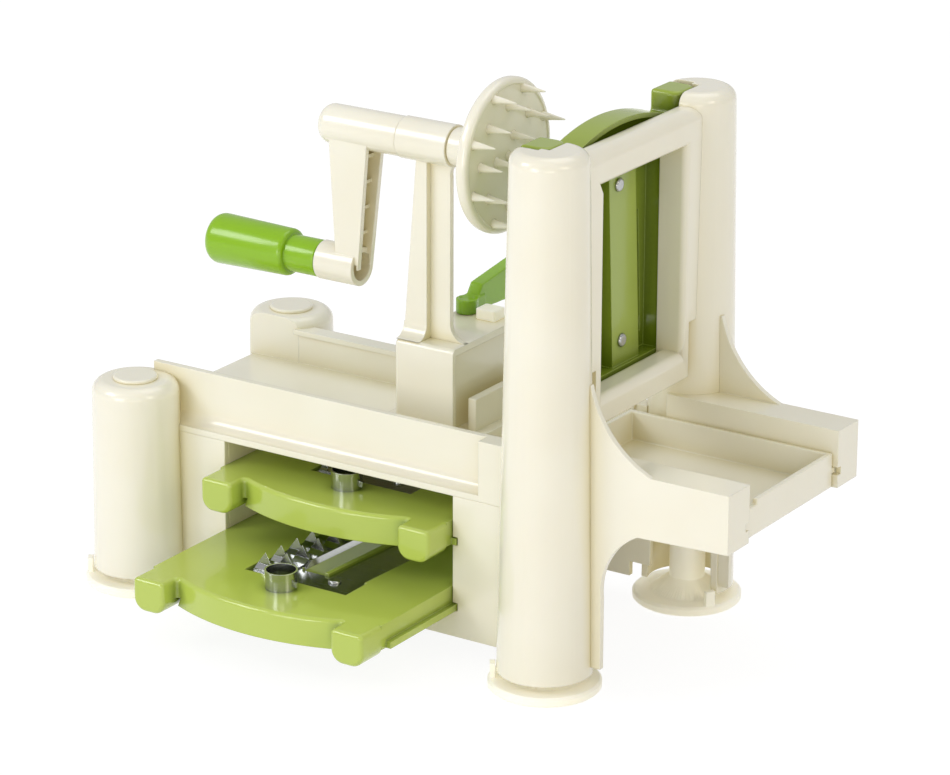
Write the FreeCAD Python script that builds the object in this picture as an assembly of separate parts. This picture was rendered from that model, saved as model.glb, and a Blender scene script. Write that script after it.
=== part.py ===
import FreeCAD, Part
import math
import os

V = FreeCAD.Vector

# A hand cranked spiral slicer: a housing on four suction feet, a sliding crank
# carriage, a tall window frame that holds one blade insert upright, and two
# more inserts lying in slots under the deck.
# Millimetres. X runs from the crank end to the blade end, with zero at the tall
# posts. Y is zero on the middle plane and the drawers open towards -Y. Z is
# zero on the table. Every node is shifted at the end to the footprint's middle.

# Clearances
SLIDE_GAP = 0.3
SEAT_GAP = 0.3
RUN_GAP = 0.05
END_GAP = 1.5

# Suction feet
FOOT_R = 24.5
FOOT_RIM_H = 4.4
FOOT_CUP_R = 15.0
FOOT_CUP_DEPTH = 1.5
FOOT_CONE_R = 17.0
FOOT_CONE_TOP_Z = 11.0
FOOT_STEM_R = 8.0
FOOT_PIN_R = 3.5
FOOT_NUT_R = 7.0
FOOT_NUT_H = 4.0
FOOT_TAB_W = 4.5
FOOT_TAB_TOP_Z = 11.0
FOOT_TAB_T = 2.4
FOOT_TAB_TURN = 33.0

# Posts
POST_OUT = 7.2
SHORT_POST_REACH = 43.7
POST_BOTTOM_Z = 8.0
POST_WALL = 3.0
POST_WEB_Z = 28.0
POST_WEB_T = 3.0
POST_CAP_FILLET = 5.5
TALL_POST_RISE = 0.2
TALL_POST_R_BOTTOM = 20.8
TALL_POST_R_TOP = 16.8
SHORT_POST_TOP_Z = 96.8
SHORT_POST_R_BOTTOM = 20.5
SHORT_POST_R_TOP = 19.5
PLUG_R = 10.0
PLUG_H = 1.6
PLUG_SEAT = 2.0
PLUG_STEM_R = 4.0

# Housing and deck
EAR_OVERHANG = 7.9
BODY_WALL = 3.0
BODY_END_REACH = 13.2
BODY_FRONT_X = -13.5
BODY_BOTTOM_Z = 8.0
RELIEF_X = -24.0
RELIEF_Z = 15.0
DECK_Z = 76.0
DECK_T = 2.8
DECK_FRONT_X = -20.0
LEG_COVER_X = -39.0
NEAR_LEDGE = 6.5
NEAR_RAIL_T = 3.0
NEAR_RAIL_TOP_Z = 100.8
RAIL_FOOT_R = 5.5
FAR_RAIL_T = 6.8
FAR_RAIL_TOP_Z = 92.4
LIP_T = 2.4
LIP_REACH = 1.5

# Blade inserts, in their own frame: u across, v down from the ear tops, w from
# the back to the blade side
INSERT_HALF_W = 60.4
INSERT_L = 119.0
INSERT_T = 11.0
FLANGE_REACH = 2.5
FLANGE_T = 3.0
EAR_W = 16.4
EAR_L = 15.0
EAR_DROP = 4.0
EAR_ROUND = 6.0
ARCH_V = 1.2
ARCH_END_V = 10.5
ARCH_T = 2.2
ARCH_DROP = 2.3
SKIN_T = 3.6
BACK_HALF_U = 36.0
BACK_V0 = 19.0
BACK_V1 = 113.0
PLAIN_BAR_U0 = -3.6
PLAIN_BAR_U1 = 18.0
PLAIN_SLOT_U1 = 29.0
TOOTHED_BAR_U0 = -27.0
TOOTHED_BAR_U1 = -7.0
TOOTHED_SLOT_U1 = 5.0
SLOT_V0 = 51.0
SLOT_V1 = 107.0
BAR_BACK_W = 1.6
BAR_SLANT_DEG = -3.3
BAR_PIVOT_V = 30.0
RING_V = 26.5
RING_R = 6.9
RING_FLARE = 0.4
RING_WALL = 0.8
RING_H = 8.4
SPUR_L = 1.8
SPUR_W = 1.6
SPUR_Z = 2.5
RING_SEAT_W = 9.3
BLADE_T = 0.8
POCKET_DEPTH = 2.0
FOOT_STRIP_U0 = -25.0
FOOT_STRIP_U1 = 28.0
FOOT_STRIP_V0 = 34.8
FOOT_STRIP_V1 = 50.0
STRIP_MARGIN = 2.5
EDGE_REACH = 3.6
EDGE_LIFT = 5.0
EDGE_T = 0.6
TOOTH_T = 0.8
TOOTH_PROPORTION = 1.0
TOOTH_PITCH_SHARE = 1.5
COARSE_COLUMN_COUNT = 2
FINE_COLUMN_COUNT = 4
COMB_MARGIN = 0.6
BACK_RIVET_OFFSET = 3.4
BACK_RIVET_V = 31.5
LOW_RIVET_V = 102.0
FRONT_RIVET_U = 14.0
FRONT_RIVET_V = 46.5
RIVET_R = 1.6
RIVET_HEAD_R = 3.0
RIVET_HEAD_H = 1.3

# Where the inserts stand
INSERT_X = -112.7
SLOT_PITCH = 30.5
LOWER_INSERT_Z = 20.5
LOWER_PULL_OUT = 50.0
WORK_INSERT_FACE_X = -14.8
WORK_INSERT_TOP_Z = 237.5
GUIDE_T = 6.6

# Window frame and arms
FRAME_FRONT_X = 10.5
FRAME_INSET = 13.7
FRAME_TOP_DROP = 5.0
FRAME_BAR_H = 15.0
FRAME_SILL_H = 11.5
WINDOW_HALF_Y = 34.5
WINDOW_SILL_ROUND = 4.0
FRAME_ROUND = 6.0
ARM_STEP = 3.2
ARM_INSET = 14.2
ARM_END_X = 85.5
ARM_TOP_Z = 103.0
ARM_BOTTOM_Z = 77.0
ARM_WALL = 2.6
ARM_ROOT_Z = 138.0
ARM_ROOT_X = 18.5
ARM_SWEEP_X = 48.0
ARM_CURVE_X = 0.34
ARM_CURVE_Z = 0.41
SIDE_PLATE_X = 25.0
SIDE_PLATE_Z = 11.7
SIDE_STRAIGHT_Z = 44.0
SIDE_ARC_X = 30.5
SIDE_ARC_Z = 65.5
SIDE_ARC_END_X = 43.6

# Catch tray
TRAY_BACK_X = -18.0
TRAY_FRONT_X = 83.0
TRAY_TOP_Z = 92.6
TRAY_BOTTOM_Z = 77.0
TRAY_WALL = 2.4
TRAY_RUNNER_T = 2.5
TRAY_RUNNER_Z = 83.0
TRAY_RUNNER_H = 3.0
TRAY_RUNNER_X = 26.0

# Crank carriage
BLOCK_X0 = -110.0
BLOCK_X1 = -79.0
BLOCK_Y0 = -11.5
BLOCK_Y1 = 42.0
BLOCK_TOP_Z = 121.8
BLOCK_WALL = 3.0
PANEL_DEPTH = 2.0
BASE_X0 = -118.0
BASE_X1 = -66.0
BASE_TOP_Z = 84.0
GUARD_X = -75.0
GUARD_T = 4.0
GUARD_TOP_Z = 99.0
GUARD_Y0 = -5.3
COLUMN_RIB_X = -97.5
COLUMN_WEB_X = -87.2
COLUMN_TOP_X = -102.5
COLUMN_RIB_HALF_Y = 4.4
COLUMN_WEB_HALF_Y = 1.3
HEAD_X0 = -111.2
HEAD_X1 = -85.2
HEAD_R = 9.4
BUSH_WALL = 1.6
BUSH_FLANGE = 1.0

# Crank
SHAFT_R = 4.0
HUB_X0 = -154.5
HUB_R = 9.0
HUB_ROUND = 5.5
ARM_DROP = 63.6
CRANK_TOP_X0 = -147.5
CRANK_TOP_X1 = -126.7
CRANK_LOW_X0 = -144.8
CRANK_LOW_X1 = -133.0
CRANK_TOP_HALF_Y = 7.5
CRANK_LOW_HALF_Y = 6.0
CRANK_WALL = 2.4
CRANK_RIB_COUNT = 4
CRANK_RIB_T = 1.6
BOSS_X0 = -155.4
BOSS_X1 = -134.9
BOSS_R = 8.8
BOSS_WALL = 2.4
BOSS_FLOOR_T = 6.0
GRIP_END_X = -215.4
GRIP_SHOULDER_X = -172.0
GRIP_R_END = 11.8
GRIP_R_SHOULDER = 10.7
GRIP_COLLAR_R = 8.4
GRIP_END_ROUND = 5.0
GRIP_SHOULDER_ROUND = 2.0
PIN_R = 3.5
PIN_HEAD_R = 5.5
PIN_HEAD_H = 2.5
PIN_INSET = 9.0

# Prong wheel
WHEEL_X = -60.9
WHEEL_R = 34.2
WHEEL_T = 6.2
WHEEL_RIM_SHARE = 0.42
NECK_R = 8.4
TINE_R = 1.9
TINE_L = 11.0
TINE_TIP_R = 0.25
OUTER_RING_R = 29.8
OUTER_RING_TINES = 8
OUTER_RING_TURN = 22.5
MIDDLE_RING_R = 22.0
MIDDLE_RING_TINES = 8
MIDDLE_RING_TURN = 0.0
INNER_RING_R = 9.2
INNER_RING_TINES = 3
INNER_RING_TURN = 65.0
SPIKE_R = 2.0
SPIKE_L = 9.0

# Push lever
LEVER_X = -103.2
LEVER_Y = 36.5
LEVER_PAD_R = 5.0
LEVER_PAD_T = 6.6
LEVER_PIN_R = 2.0
LEVER_TIP_Y = 82.0
LEVER_BLADE_T = 6.5
LEVER_SKIN_T = 1.8
LEVER_DISH_R = 3.4
LEVER_DISH_DEPTH = 0.6
LEVER_BLADE_TOP_Z = 138.0
LEVER_RISE_Y = 44.0
LEVER_TIP_ROUND = 6.0
LEVER_BACK_Y = 44.5
LEVER_BACK_Z = 133.6
STOP_X0 = -95.2
STOP_X1 = -85.0
STOP_Y0 = 31.0
STOP_Y1 = 40.0
STOP_H = 5.0

# Values that follow from the sizes above
BODY_HALF_Y = INSERT_HALF_W - EAR_OVERHANG
POST_Y = BODY_HALF_Y + POST_OUT
SHORT_POST_X = INSERT_X - INSERT_HALF_W - SHORT_POST_REACH
BODY_END_X = SHORT_POST_X - BODY_END_REACH
TALL_POST_TOP_Z = WORK_INSERT_TOP_Z + TALL_POST_RISE
NEAR_RAIL_Y = -(BODY_HALF_Y - NEAR_LEDGE)
CHANNEL_NEAR_Y = NEAR_RAIL_Y + NEAR_RAIL_T
FAR_RAIL_Y = BODY_HALF_Y - FAR_RAIL_T
DECK_UNDER_Z = DECK_Z - DECK_T
UPPER_INSERT_Y = BODY_HALF_Y - BODY_WALL - END_GAP - INSERT_L
LOWER_INSERT_Y = UPPER_INSERT_Y - LOWER_PULL_OUT
SLOT_HALF_W = INSERT_HALF_W + SLIDE_GAP
SLOT_BOTTOM_Z = LOWER_INSERT_Z - SLIDE_GAP
INSERT_BACK_X = WORK_INSERT_FACE_X + INSERT_T
FRAME_BACK_X = INSERT_BACK_X + SLIDE_GAP
FRAME_HALF_Y = POST_Y - FRAME_INSET
FRAME_TOP_Z = WORK_INSERT_TOP_Z - FRAME_TOP_DROP
WINDOW_TOP_Z = FRAME_TOP_Z - FRAME_BAR_H
EAR_U = INSERT_HALF_W - EAR_W
WINDOW_BOTTOM_Z = WORK_INSERT_TOP_Z - BACK_V1
FRAME_SILL_BOTTOM_Z = WINDOW_BOTTOM_Z - FRAME_SILL_H
ARM_OUT_Y = BODY_HALF_Y + ARM_STEP
ARM_IN_Y = BODY_HALF_Y - ARM_INSET
AXIS_Z = WORK_INSERT_TOP_Z - RING_V
CRANK_Z = AXIS_Z - ARM_DROP
ORIGIN_X = (SHORT_POST_X - FOOT_R + ARM_END_X) / 2
ORIGIN_Y = (LOWER_INSERT_Y + POST_Y + FOOT_R) / 2
PLAIN_STYLE = (PLAIN_BAR_U0, PLAIN_BAR_U1, PLAIN_SLOT_U1)
TOOTHED_STYLE = (TOOTHED_BAR_U0, TOOTHED_BAR_U1, TOOTHED_SLOT_U1)
CUT_REACH = TALL_POST_TOP_Z


def block(x0, x1, y0, y1, z0, z1):
    """A box between two corners."""
    return Part.makeBox(x1 - x0, y1 - y0, z1 - z0, V(x0, y0, z0))


def rod_x(radius, x0, x1, y, z):
    """A cylinder along X."""
    return Part.makeCylinder(radius, x1 - x0, V(x0, y, z), V(1, 0, 0))


def rod_z(radius, x, y, z0, z1):
    """An upright cylinder."""
    return Part.makeCylinder(radius, z1 - z0, V(x, y, z0), V(0, 0, 1))


def taper_z(r0, r1, x, y, z0, z1):
    """An upright cone with radius r0 at z0 and r1 at z1, or a cylinder if they match."""
    if abs(r0 - r1) < 1e-6:
        return rod_z(r0, x, y, z0, z1)
    return Part.makeCone(r0, r1, z1 - z0, V(x, y, z0), V(0, 0, 1))


def outline(start, steps):
    """A closed wire. A step is a point, or a pair (point on the arc, end point)."""
    edges = []
    here = V(*start)
    for step in steps:
        if isinstance(step[0], tuple):
            middle = V(*step[0])
            there = V(*step[1])
            edges.append(Part.Arc(here, middle, there).toShape())
        else:
            there = V(*step)
            edges.append(Part.LineSegment(here, there).toShape())
        here = there
    if here.distanceToPoint(V(*start)) > 1e-6:
        edges.append(Part.LineSegment(here, V(*start)).toShape())
    return Part.Wire(edges)


def prism(wire, direction):
    """The solid swept by a flat wire along a direction."""
    return Part.Face(wire).extrude(direction)


def side_profile(start, steps, y0, y1):
    """A prism across Y from an outline given as (x, z) points."""

    def lift(point):
        return (point[0], y0, point[1])

    lifted = []
    for step in steps:
        if isinstance(step[0], tuple):
            lifted.append((lift(step[0]), lift(step[1])))
        else:
            lifted.append(lift(step))
    return prism(outline(lift(start), lifted), V(0, y1 - y0, 0))


def turned(points, base, direction):
    """A solid of revolution about an axis, from (radius, height) points."""
    wire = outline((points[0][0], 0, points[0][1]), [(r, 0, h) for r, h in points[1:]])
    solid = Part.Face(wire).revolve(V(0, 0, 0), V(0, 0, 1), 360)
    solid.Placement = FreeCAD.Placement(base, FreeCAD.Rotation(V(0, 0, 1), direction))
    return solid


def edges_along(shape, axis):
    """The straight edges that run along an axis."""
    found = []
    for edge in shape.Edges:
        if len(edge.Vertexes) != 2 or not isinstance(edge.Curve, Part.Line):
            continue
        run = edge.Vertexes[1].Point - edge.Vertexes[0].Point
        if abs(abs(run.dot(axis)) - run.Length) < 1e-6:
            found.append(edge)
    return found


def round_edges(shape, radius, axis, chosen):
    """Fillet the edges along an axis whose middle point passes a test."""
    picked = [edge for edge in edges_along(shape, axis) if chosen(edge.CenterOfMass)]
    return shape.makeFillet(radius, picked)


def mirrored(shape):
    """The same shape on the other side of the middle plane."""
    return shape.mirror(V(0, 0, 0), V(0, 1, 0))


def rounded_post(r_bottom, r_top, x, y, z0, z1, fillet):
    """A drafted round post with a rounded top rim."""
    post = taper_z(r_bottom, r_top, x, y, z0, z1)
    rim = [edge for edge in post.Edges if abs(edge.CenterOfMass.z - z1) < 1e-6 and len(edge.Vertexes) == 1]
    return post.makeFillet(fillet, rim)


def suction_foot(x, y, outward):
    """A soft cup foot with a cone, a stem, a pin and a release tab at its rim."""
    profile = [
        (0, FOOT_CUP_DEPTH),
        (FOOT_CUP_R - FOOT_CUP_DEPTH, FOOT_CUP_DEPTH),
        (FOOT_CUP_R, 0),
        (FOOT_R - 1.0, 0),
        (FOOT_R, 1.0),
        (FOOT_R, FOOT_RIM_H - 1.0),
        (FOOT_R - 1.0, FOOT_RIM_H),
        (FOOT_CONE_R, FOOT_RIM_H),
        (FOOT_STEM_R, FOOT_CONE_TOP_Z),
        (FOOT_STEM_R, POST_WEB_Z),
        (FOOT_PIN_R, POST_WEB_Z),
        (FOOT_PIN_R, POST_WEB_Z + POST_WEB_T + FOOT_NUT_H),
        (0, POST_WEB_Z + POST_WEB_T + FOOT_NUT_H),
    ]
    foot = turned(profile, V(x, y, 0), V(0, 0, 1))
    inner = TALL_POST_R_BOTTOM + SEAT_GAP
    x0, x1 = sorted((x + outward * inner, x + outward * (inner + FOOT_TAB_T)))
    tab = block(x0, x1, y - FOOT_TAB_W / 2, y + FOOT_TAB_W / 2, FOOT_RIM_H - 1.0, FOOT_TAB_TOP_Z)
    tab.rotate(V(x, y, 0), V(0, 0, 1), -outward * FOOT_TAB_TURN)
    return foot.fuse(tab)


def foot_nut(x, y):
    """The retaining nut that holds a foot's pin above the post's web."""
    nut_z = POST_WEB_Z + POST_WEB_T
    corners = [
        (x + FOOT_NUT_R * math.cos(math.radians(a)), y + FOOT_NUT_R * math.sin(math.radians(a)), nut_z)
        for a in range(0, 360, 60)
    ]
    nut = prism(outline(corners[0], corners[1:]), V(0, 0, FOOT_NUT_H))
    return nut.cut(rod_z(FOOT_PIN_R + RUN_GAP, x, y, nut_z, nut_z + FOOT_NUT_H))


def channel(grow=0.0):
    """The space over the deck, between the rails, that the carriage runs in."""
    return block(
        BODY_END_X - CUT_REACH,
        DECK_FRONT_X,
        CHANNEL_NEAR_Y - grow,
        FAR_RAIL_Y + grow,
        DECK_Z - grow,
        SHORT_POST_TOP_Z + CUT_REACH,
    )


def short_post_outer(side):
    """The outer form of a short post, whole."""
    return rounded_post(
        SHORT_POST_R_BOTTOM, SHORT_POST_R_TOP, SHORT_POST_X, side * POST_Y,
        POST_BOTTOM_Z, SHORT_POST_TOP_Z, POST_CAP_FILLET,
    )


def tall_post_outer(side):
    """The outer form of a tall post, whole."""
    return rounded_post(
        TALL_POST_R_BOTTOM, TALL_POST_R_TOP, 0, side * POST_Y,
        POST_BOTTOM_Z, TALL_POST_TOP_Z, POST_CAP_FILLET,
    )


def post_web(radius, x, y):
    """The plate inside a post that the foot's pin passes through."""
    web = rod_z(radius, x, y, POST_WEB_Z, POST_WEB_Z + POST_WEB_T)
    return web.cut(rod_z(FOOT_PIN_R + RUN_GAP, x, y, POST_WEB_Z - 1, POST_WEB_Z + POST_WEB_T + 1))


def short_post(side):
    """A hollow short post, cut flat where the carriage channel passes."""
    y = side * POST_Y
    core = taper_z(
        SHORT_POST_R_BOTTOM - POST_WALL, SHORT_POST_R_TOP - POST_WALL, SHORT_POST_X, y,
        POST_BOTTOM_Z, SHORT_POST_TOP_Z - POST_WALL,
    )
    post = short_post_outer(side).cut(core.cut(channel(POST_WALL)))
    post = post.cut(channel())
    post = post.fuse(post_web(SHORT_POST_R_BOTTOM - POST_WALL / 2, SHORT_POST_X, y))
    seat = rod_z(PLUG_STEM_R + RUN_GAP, SHORT_POST_X, y, SHORT_POST_TOP_Z - 2 * POST_WALL, SHORT_POST_TOP_Z + 1)
    return post.cut(seat)


def post_plug(side):
    """The round plug pressed into a short post's cap."""
    y = side * POST_Y
    top = SHORT_POST_TOP_Z + PLUG_H
    head = rounded_post(PLUG_R, PLUG_R, SHORT_POST_X, y, SHORT_POST_TOP_Z, top, PLUG_H * 0.6)
    return head.fuse(rod_z(PLUG_STEM_R, SHORT_POST_X, y, SHORT_POST_TOP_Z - PLUG_SEAT, SHORT_POST_TOP_Z + 0.5))


def insert_groove(side, grow=0.0):
    """The upright groove in a tall post that the working insert slides in."""
    reach = INSERT_HALF_W + FLANGE_REACH + SLIDE_GAP + grow
    y0, y1 = sorted((0.0, side * reach))
    bottom = WORK_INSERT_TOP_Z - INSERT_L - grow
    return block(
        WORK_INSERT_FACE_X - SLIDE_GAP - grow, INSERT_BACK_X + SLIDE_GAP + grow,
        y0, y1, bottom, TALL_POST_TOP_Z + CUT_REACH,
    )


def ear_cut(side, grow=0.0):
    """The notch in a tall post's cap that the insert's ear drops into."""
    y0, y1 = sorted((0.0, side * (INSERT_HALF_W + SLIDE_GAP + grow)))
    return block(
        -TALL_POST_R_BOTTOM - grow, INSERT_BACK_X + EAR_DROP + SLIDE_GAP + grow,
        y0, y1, WORK_INSERT_TOP_Z - EAR_L - grow, TALL_POST_TOP_Z + CUT_REACH,
    )


def tall_post(side):
    """A hollow tall post with the insert groove, open on its inner side under the deck."""
    y = side * POST_Y
    wall = POST_WALL - 0.5
    core = taper_z(
        TALL_POST_R_BOTTOM - POST_WALL, TALL_POST_R_TOP - POST_WALL, 0, y,
        POST_BOTTOM_Z, TALL_POST_TOP_Z - POST_WALL,
    )
    core = core.cut(insert_groove(side, wall)).cut(ear_cut(side, wall))
    post = tall_post_outer(side).cut(core)
    post = post.cut(insert_groove(side)).cut(ear_cut(side))
    y0, y1 = sorted((0.0, side * BODY_HALF_Y))
    inboard = block(-CUT_REACH, CUT_REACH, y0, y1, 0, DECK_UNDER_Z)
    web = post_web(TALL_POST_R_BOTTOM - POST_WALL / 2, 0, y)
    return post.fuse(web).cut(inboard)


def slot_outline(grow_z=0.0):
    """The drawer opening's space: a box for two inserts and notches for their flanges."""
    space = block(
        INSERT_X - SLOT_HALF_W, INSERT_X + SLOT_HALF_W,
        -BODY_HALF_Y - 1, -BODY_HALF_Y + BODY_WALL + 1,
        SLOT_BOTTOM_Z, DECK_UNDER_Z + 1,
    )
    for level in range(2):
        space = space.fuse(flange_space(level, -BODY_HALF_Y - 1, -BODY_HALF_Y + BODY_WALL + 1))
    return space


def flange_space(level, y0, y1):
    """The room for one insert's side flanges, with sliding clearance."""
    z = LOWER_INSERT_Z + level * SLOT_PITCH
    half = INSERT_HALF_W + FLANGE_REACH + SLIDE_GAP
    return block(INSERT_X - half, INSERT_X + half, y0, y1, z - SLIDE_GAP, z + FLANGE_T + SLIDE_GAP)


def all_posts_outer():
    """The four posts' outer forms, for cutting their neighbours."""
    return [short_post_outer(-1), short_post_outer(1), tall_post_outer(-1), tall_post_outer(1)]


def side_wall(side):
    """A wall under the deck, relieved round the foot at the blade end."""
    y0, y1 = sorted((side * (BODY_HALF_Y - BODY_WALL), side * BODY_HALF_Y))
    wall = block(SHORT_POST_X, BODY_FRONT_X, y0, y1, BODY_BOTTOM_Z, DECK_UNDER_Z)
    wall = wall.cut(block(RELIEF_X, 0, -CUT_REACH, CUT_REACH, 0, RELIEF_Z))
    if side < 0:
        wall = wall.cut(slot_outline())
    return wall.cut(short_post_outer(side))


def end_wall():
    """The wall under the deck at the crank end, between the short posts."""
    wall = block(BODY_END_X, BODY_END_X + BODY_WALL, -BODY_HALF_Y, BODY_HALF_Y, BODY_BOTTOM_Z, DECK_UNDER_Z)
    for side in (-1, 1):
        wall = wall.cut(short_post_outer(side))
    return wall


def near_rail():
    """The near side wall over the deck, with its rounded foot and the flush leg cover."""
    wall = block(SHORT_POST_X, DECK_FRONT_X, NEAR_RAIL_Y, CHANNEL_NEAR_Y, DECK_Z, NEAR_RAIL_TOP_Z)
    foot = RAIL_FOOT_R
    toe = NEAR_RAIL_Y - foot
    k = foot * (1 - math.sqrt(0.5))
    start = (SHORT_POST_X, NEAR_RAIL_Y + 0.5, DECK_Z)
    steps = [
        (SHORT_POST_X, toe, DECK_Z),
        ((SHORT_POST_X, toe + foot - k, DECK_Z + k), (SHORT_POST_X, NEAR_RAIL_Y, DECK_Z + foot)),
        (SHORT_POST_X, NEAR_RAIL_Y + 0.5, DECK_Z + foot),
    ]
    cove = prism(outline(start, steps), V(LEG_COVER_X - SHORT_POST_X + 1, 0, 0))
    cover = block(LEG_COVER_X, DECK_FRONT_X + 6, -BODY_HALF_Y, CHANNEL_NEAR_Y, DECK_Z, NEAR_RAIL_TOP_Z)
    hollow = block(
        LEG_COVER_X + BODY_WALL, DECK_FRONT_X + 7, -BODY_HALF_Y + BODY_WALL, NEAR_RAIL_Y,
        DECK_Z - 1, NEAR_RAIL_TOP_Z - BODY_WALL,
    )
    return wall.fuse(cove).fuse(cover.cut(hollow))


def far_rail():
    """The far side rail, lower than the near one, with a lip that holds the carriage down."""
    rail = block(SHORT_POST_X, DECK_FRONT_X + 6, FAR_RAIL_Y, BODY_HALF_Y, DECK_Z, FAR_RAIL_TOP_Z)
    lip = block(
        SHORT_POST_X, DECK_FRONT_X, FAR_RAIL_Y - LIP_REACH, FAR_RAIL_Y + 1,
        FAR_RAIL_TOP_Z - LIP_T, FAR_RAIL_TOP_Z,
    )
    return rail.fuse(lip)


def deck():
    """The deck plate with its two rails."""
    plate = block(BODY_END_X, DECK_FRONT_X, -BODY_HALF_Y, BODY_HALF_Y, DECK_UNDER_Z, DECK_Z)
    plate = round_edges(plate, 2.0, V(0, 1, 0), lambda p: p.x < BODY_END_X + 1 and p.z > DECK_Z - 0.5)
    whole = plate.fuse(near_rail()).fuse(far_rail())
    for post in all_posts_outer():
        whole = whole.cut(post)
    return whole.removeSplitter()


def slot_guide(side):
    """An upright rack beside the stored inserts, grooved for their flanges."""
    inner = INSERT_X + side * SLOT_HALF_W
    x0, x1 = sorted((inner, inner + side * GUIDE_T))
    inner_y = BODY_HALF_Y - BODY_WALL
    rack = block(x0, x1, -inner_y, inner_y, SLOT_BOTTOM_Z - 3.0, DECK_UNDER_Z)
    for level in range(2):
        rack = rack.cut(flange_space(level, -inner_y - 1, inner_y + 1))
    ledge0, ledge1 = sorted((inner, inner - side * 4.0))
    ledge = block(ledge0, ledge1, -inner_y, inner_y, SLOT_BOTTOM_Z - 3.0, SLOT_BOTTOM_Z)
    return rack.fuse(ledge)


def slanted(shape, style):
    """Turn a shape by the blade's slant, about the top of the blade bar."""
    bar_u0, bar_u1, slot_u1 = style
    shape.rotate(V((bar_u0 + bar_u1) / 2, BAR_PIVOT_V, 0), V(0, 0, 1), BAR_SLANT_DEG)
    return shape


def rivet_places(style):
    """Where the rivets sit: behind the ring, low on the bar and on the blade's foot."""
    bar_u0, bar_u1, slot_u1 = style
    u = (bar_u0 + bar_u1) / 2 - BACK_RIVET_OFFSET
    lean = math.tan(math.radians(-BAR_SLANT_DEG))
    places = []
    for v in (BACK_RIVET_V, LOW_RIVET_V):
        places.append((u + (v - BAR_PIVOT_V) * lean, v))
    places.append((math.copysign(FRONT_RIVET_U, -bar_u1), FRONT_RIVET_V))
    return places


def handle():
    """The arched handle: a curved strip over a thin skin, between the two ears."""
    half = EAR_U
    wall_v = ARCH_END_V + ARCH_T
    outer = ((0, ARCH_V, 0), (half, ARCH_END_V, 0))
    crown = outline(
        (-half, ARCH_END_V, 0),
        [outer, (half, wall_v, 0), ((0, ARCH_V + ARCH_T, 0), (-half, wall_v, 0))],
    )
    strip = prism(crown, V(0, 0, INSERT_T + ARCH_DROP))
    strip.translate(V(0, 0, -ARCH_DROP))
    cover = outline((-half, ARCH_END_V, 0), [outer, (half, EAR_L + 1, 0), (-half, EAR_L + 1, 0)])
    skin = prism(cover, V(0, 0, SKIN_T))
    skin.translate(V(0, 0, INSERT_T - SKIN_T))
    return strip.fuse(skin)


def ear(side):
    """One of the two ears that hang the insert on the posts."""
    u0, u1 = sorted((side * EAR_U, side * INSERT_HALF_W))
    tab = block(u0, u1, 0, EAR_L, -EAR_DROP, INSERT_T)
    tab = round_edges(tab, EAR_ROUND, V(0, 1, 0), lambda p: p.z < 0)
    return round_edges(tab, 2.0, V(0, 1, 0), lambda p: p.z > INSERT_T - 1 and abs(p.x) > INSERT_HALF_W - 1)


def blade_form(style, grow, w0, w1):
    """The blade's outline: a foot across the insert, a slanted strip along the bar and an apron past the slot."""
    bar_u0, bar_u1, slot_u1 = style
    foot = block(
        FOOT_STRIP_U0 - grow, FOOT_STRIP_U1 + grow, FOOT_STRIP_V0 - grow, FOOT_STRIP_V1 + grow, w0, w1,
    )
    strip = block(
        bar_u0 + STRIP_MARGIN - grow, bar_u1, FOOT_STRIP_V0 + STRIP_MARGIN, SLOT_V1 + grow, w0, w1,
    )
    plate = foot.fuse(slanted(strip, style))
    apron_u0 = slot_u1 + STRIP_MARGIN
    if apron_u0 < FOOT_STRIP_U1:
        apron = block(
            apron_u0 - grow, FOOT_STRIP_U1 - STRIP_MARGIN + grow, FOOT_STRIP_V0 + STRIP_MARGIN, SLOT_V1 + grow, w0, w1,
        )
        plate = plate.fuse(slanted(apron, style))
    return plate


def insert_frame(style):
    """The moulded plate of an insert, hollow at the back, in its own frame."""
    bar_u0, bar_u1, slot_u1 = style
    plate = block(-INSERT_HALF_W, INSERT_HALF_W, EAR_L, INSERT_L, 0, INSERT_T)
    for side in (-1, 1):
        u0, u1 = sorted((side * (INSERT_HALF_W - 1), side * (INSERT_HALF_W + FLANGE_REACH)))
        plate = plate.fuse(block(u0, u1, EAR_L + 3, INSERT_L, 0, FLANGE_T))
        plate = plate.fuse(ear(side))
    floor_w = INSERT_T - SKIN_T
    recess = block(-BACK_HALF_U, BACK_HALF_U, BACK_V0, BACK_V1, 0, floor_w)
    plate = plate.cut(block(-BACK_HALF_U, BACK_HALF_U, BACK_V0, BACK_V1, -1, floor_w))
    bar = block(bar_u0, bar_u1, 0, INSERT_L, BAR_BACK_W, floor_w + 0.5)
    plate = plate.fuse(slanted(bar, style).common(recess))
    slot = block(bar_u1, slot_u1, SLOT_V0, SLOT_V1, -1, INSERT_T + 1)
    plate = plate.cut(slanted(slot, style))
    plate = plate.fuse(handle())
    plate = plate.cut(blade_form(style, SEAT_GAP, INSERT_T - POCKET_DEPTH, INSERT_T + 1))
    plate = plate.cut(rod_z(RING_R + RUN_GAP, 0, RING_V, RING_SEAT_W, INSERT_T + 1))
    for u, v in rivet_places(style):
        top = RING_SEAT_W if v == BACK_RIVET_V else INSERT_T
        plate = plate.cut(rod_z(RIVET_R + RUN_GAP, u, v, -1, top - SEAT_GAP))
    return plate.removeSplitter()


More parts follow.
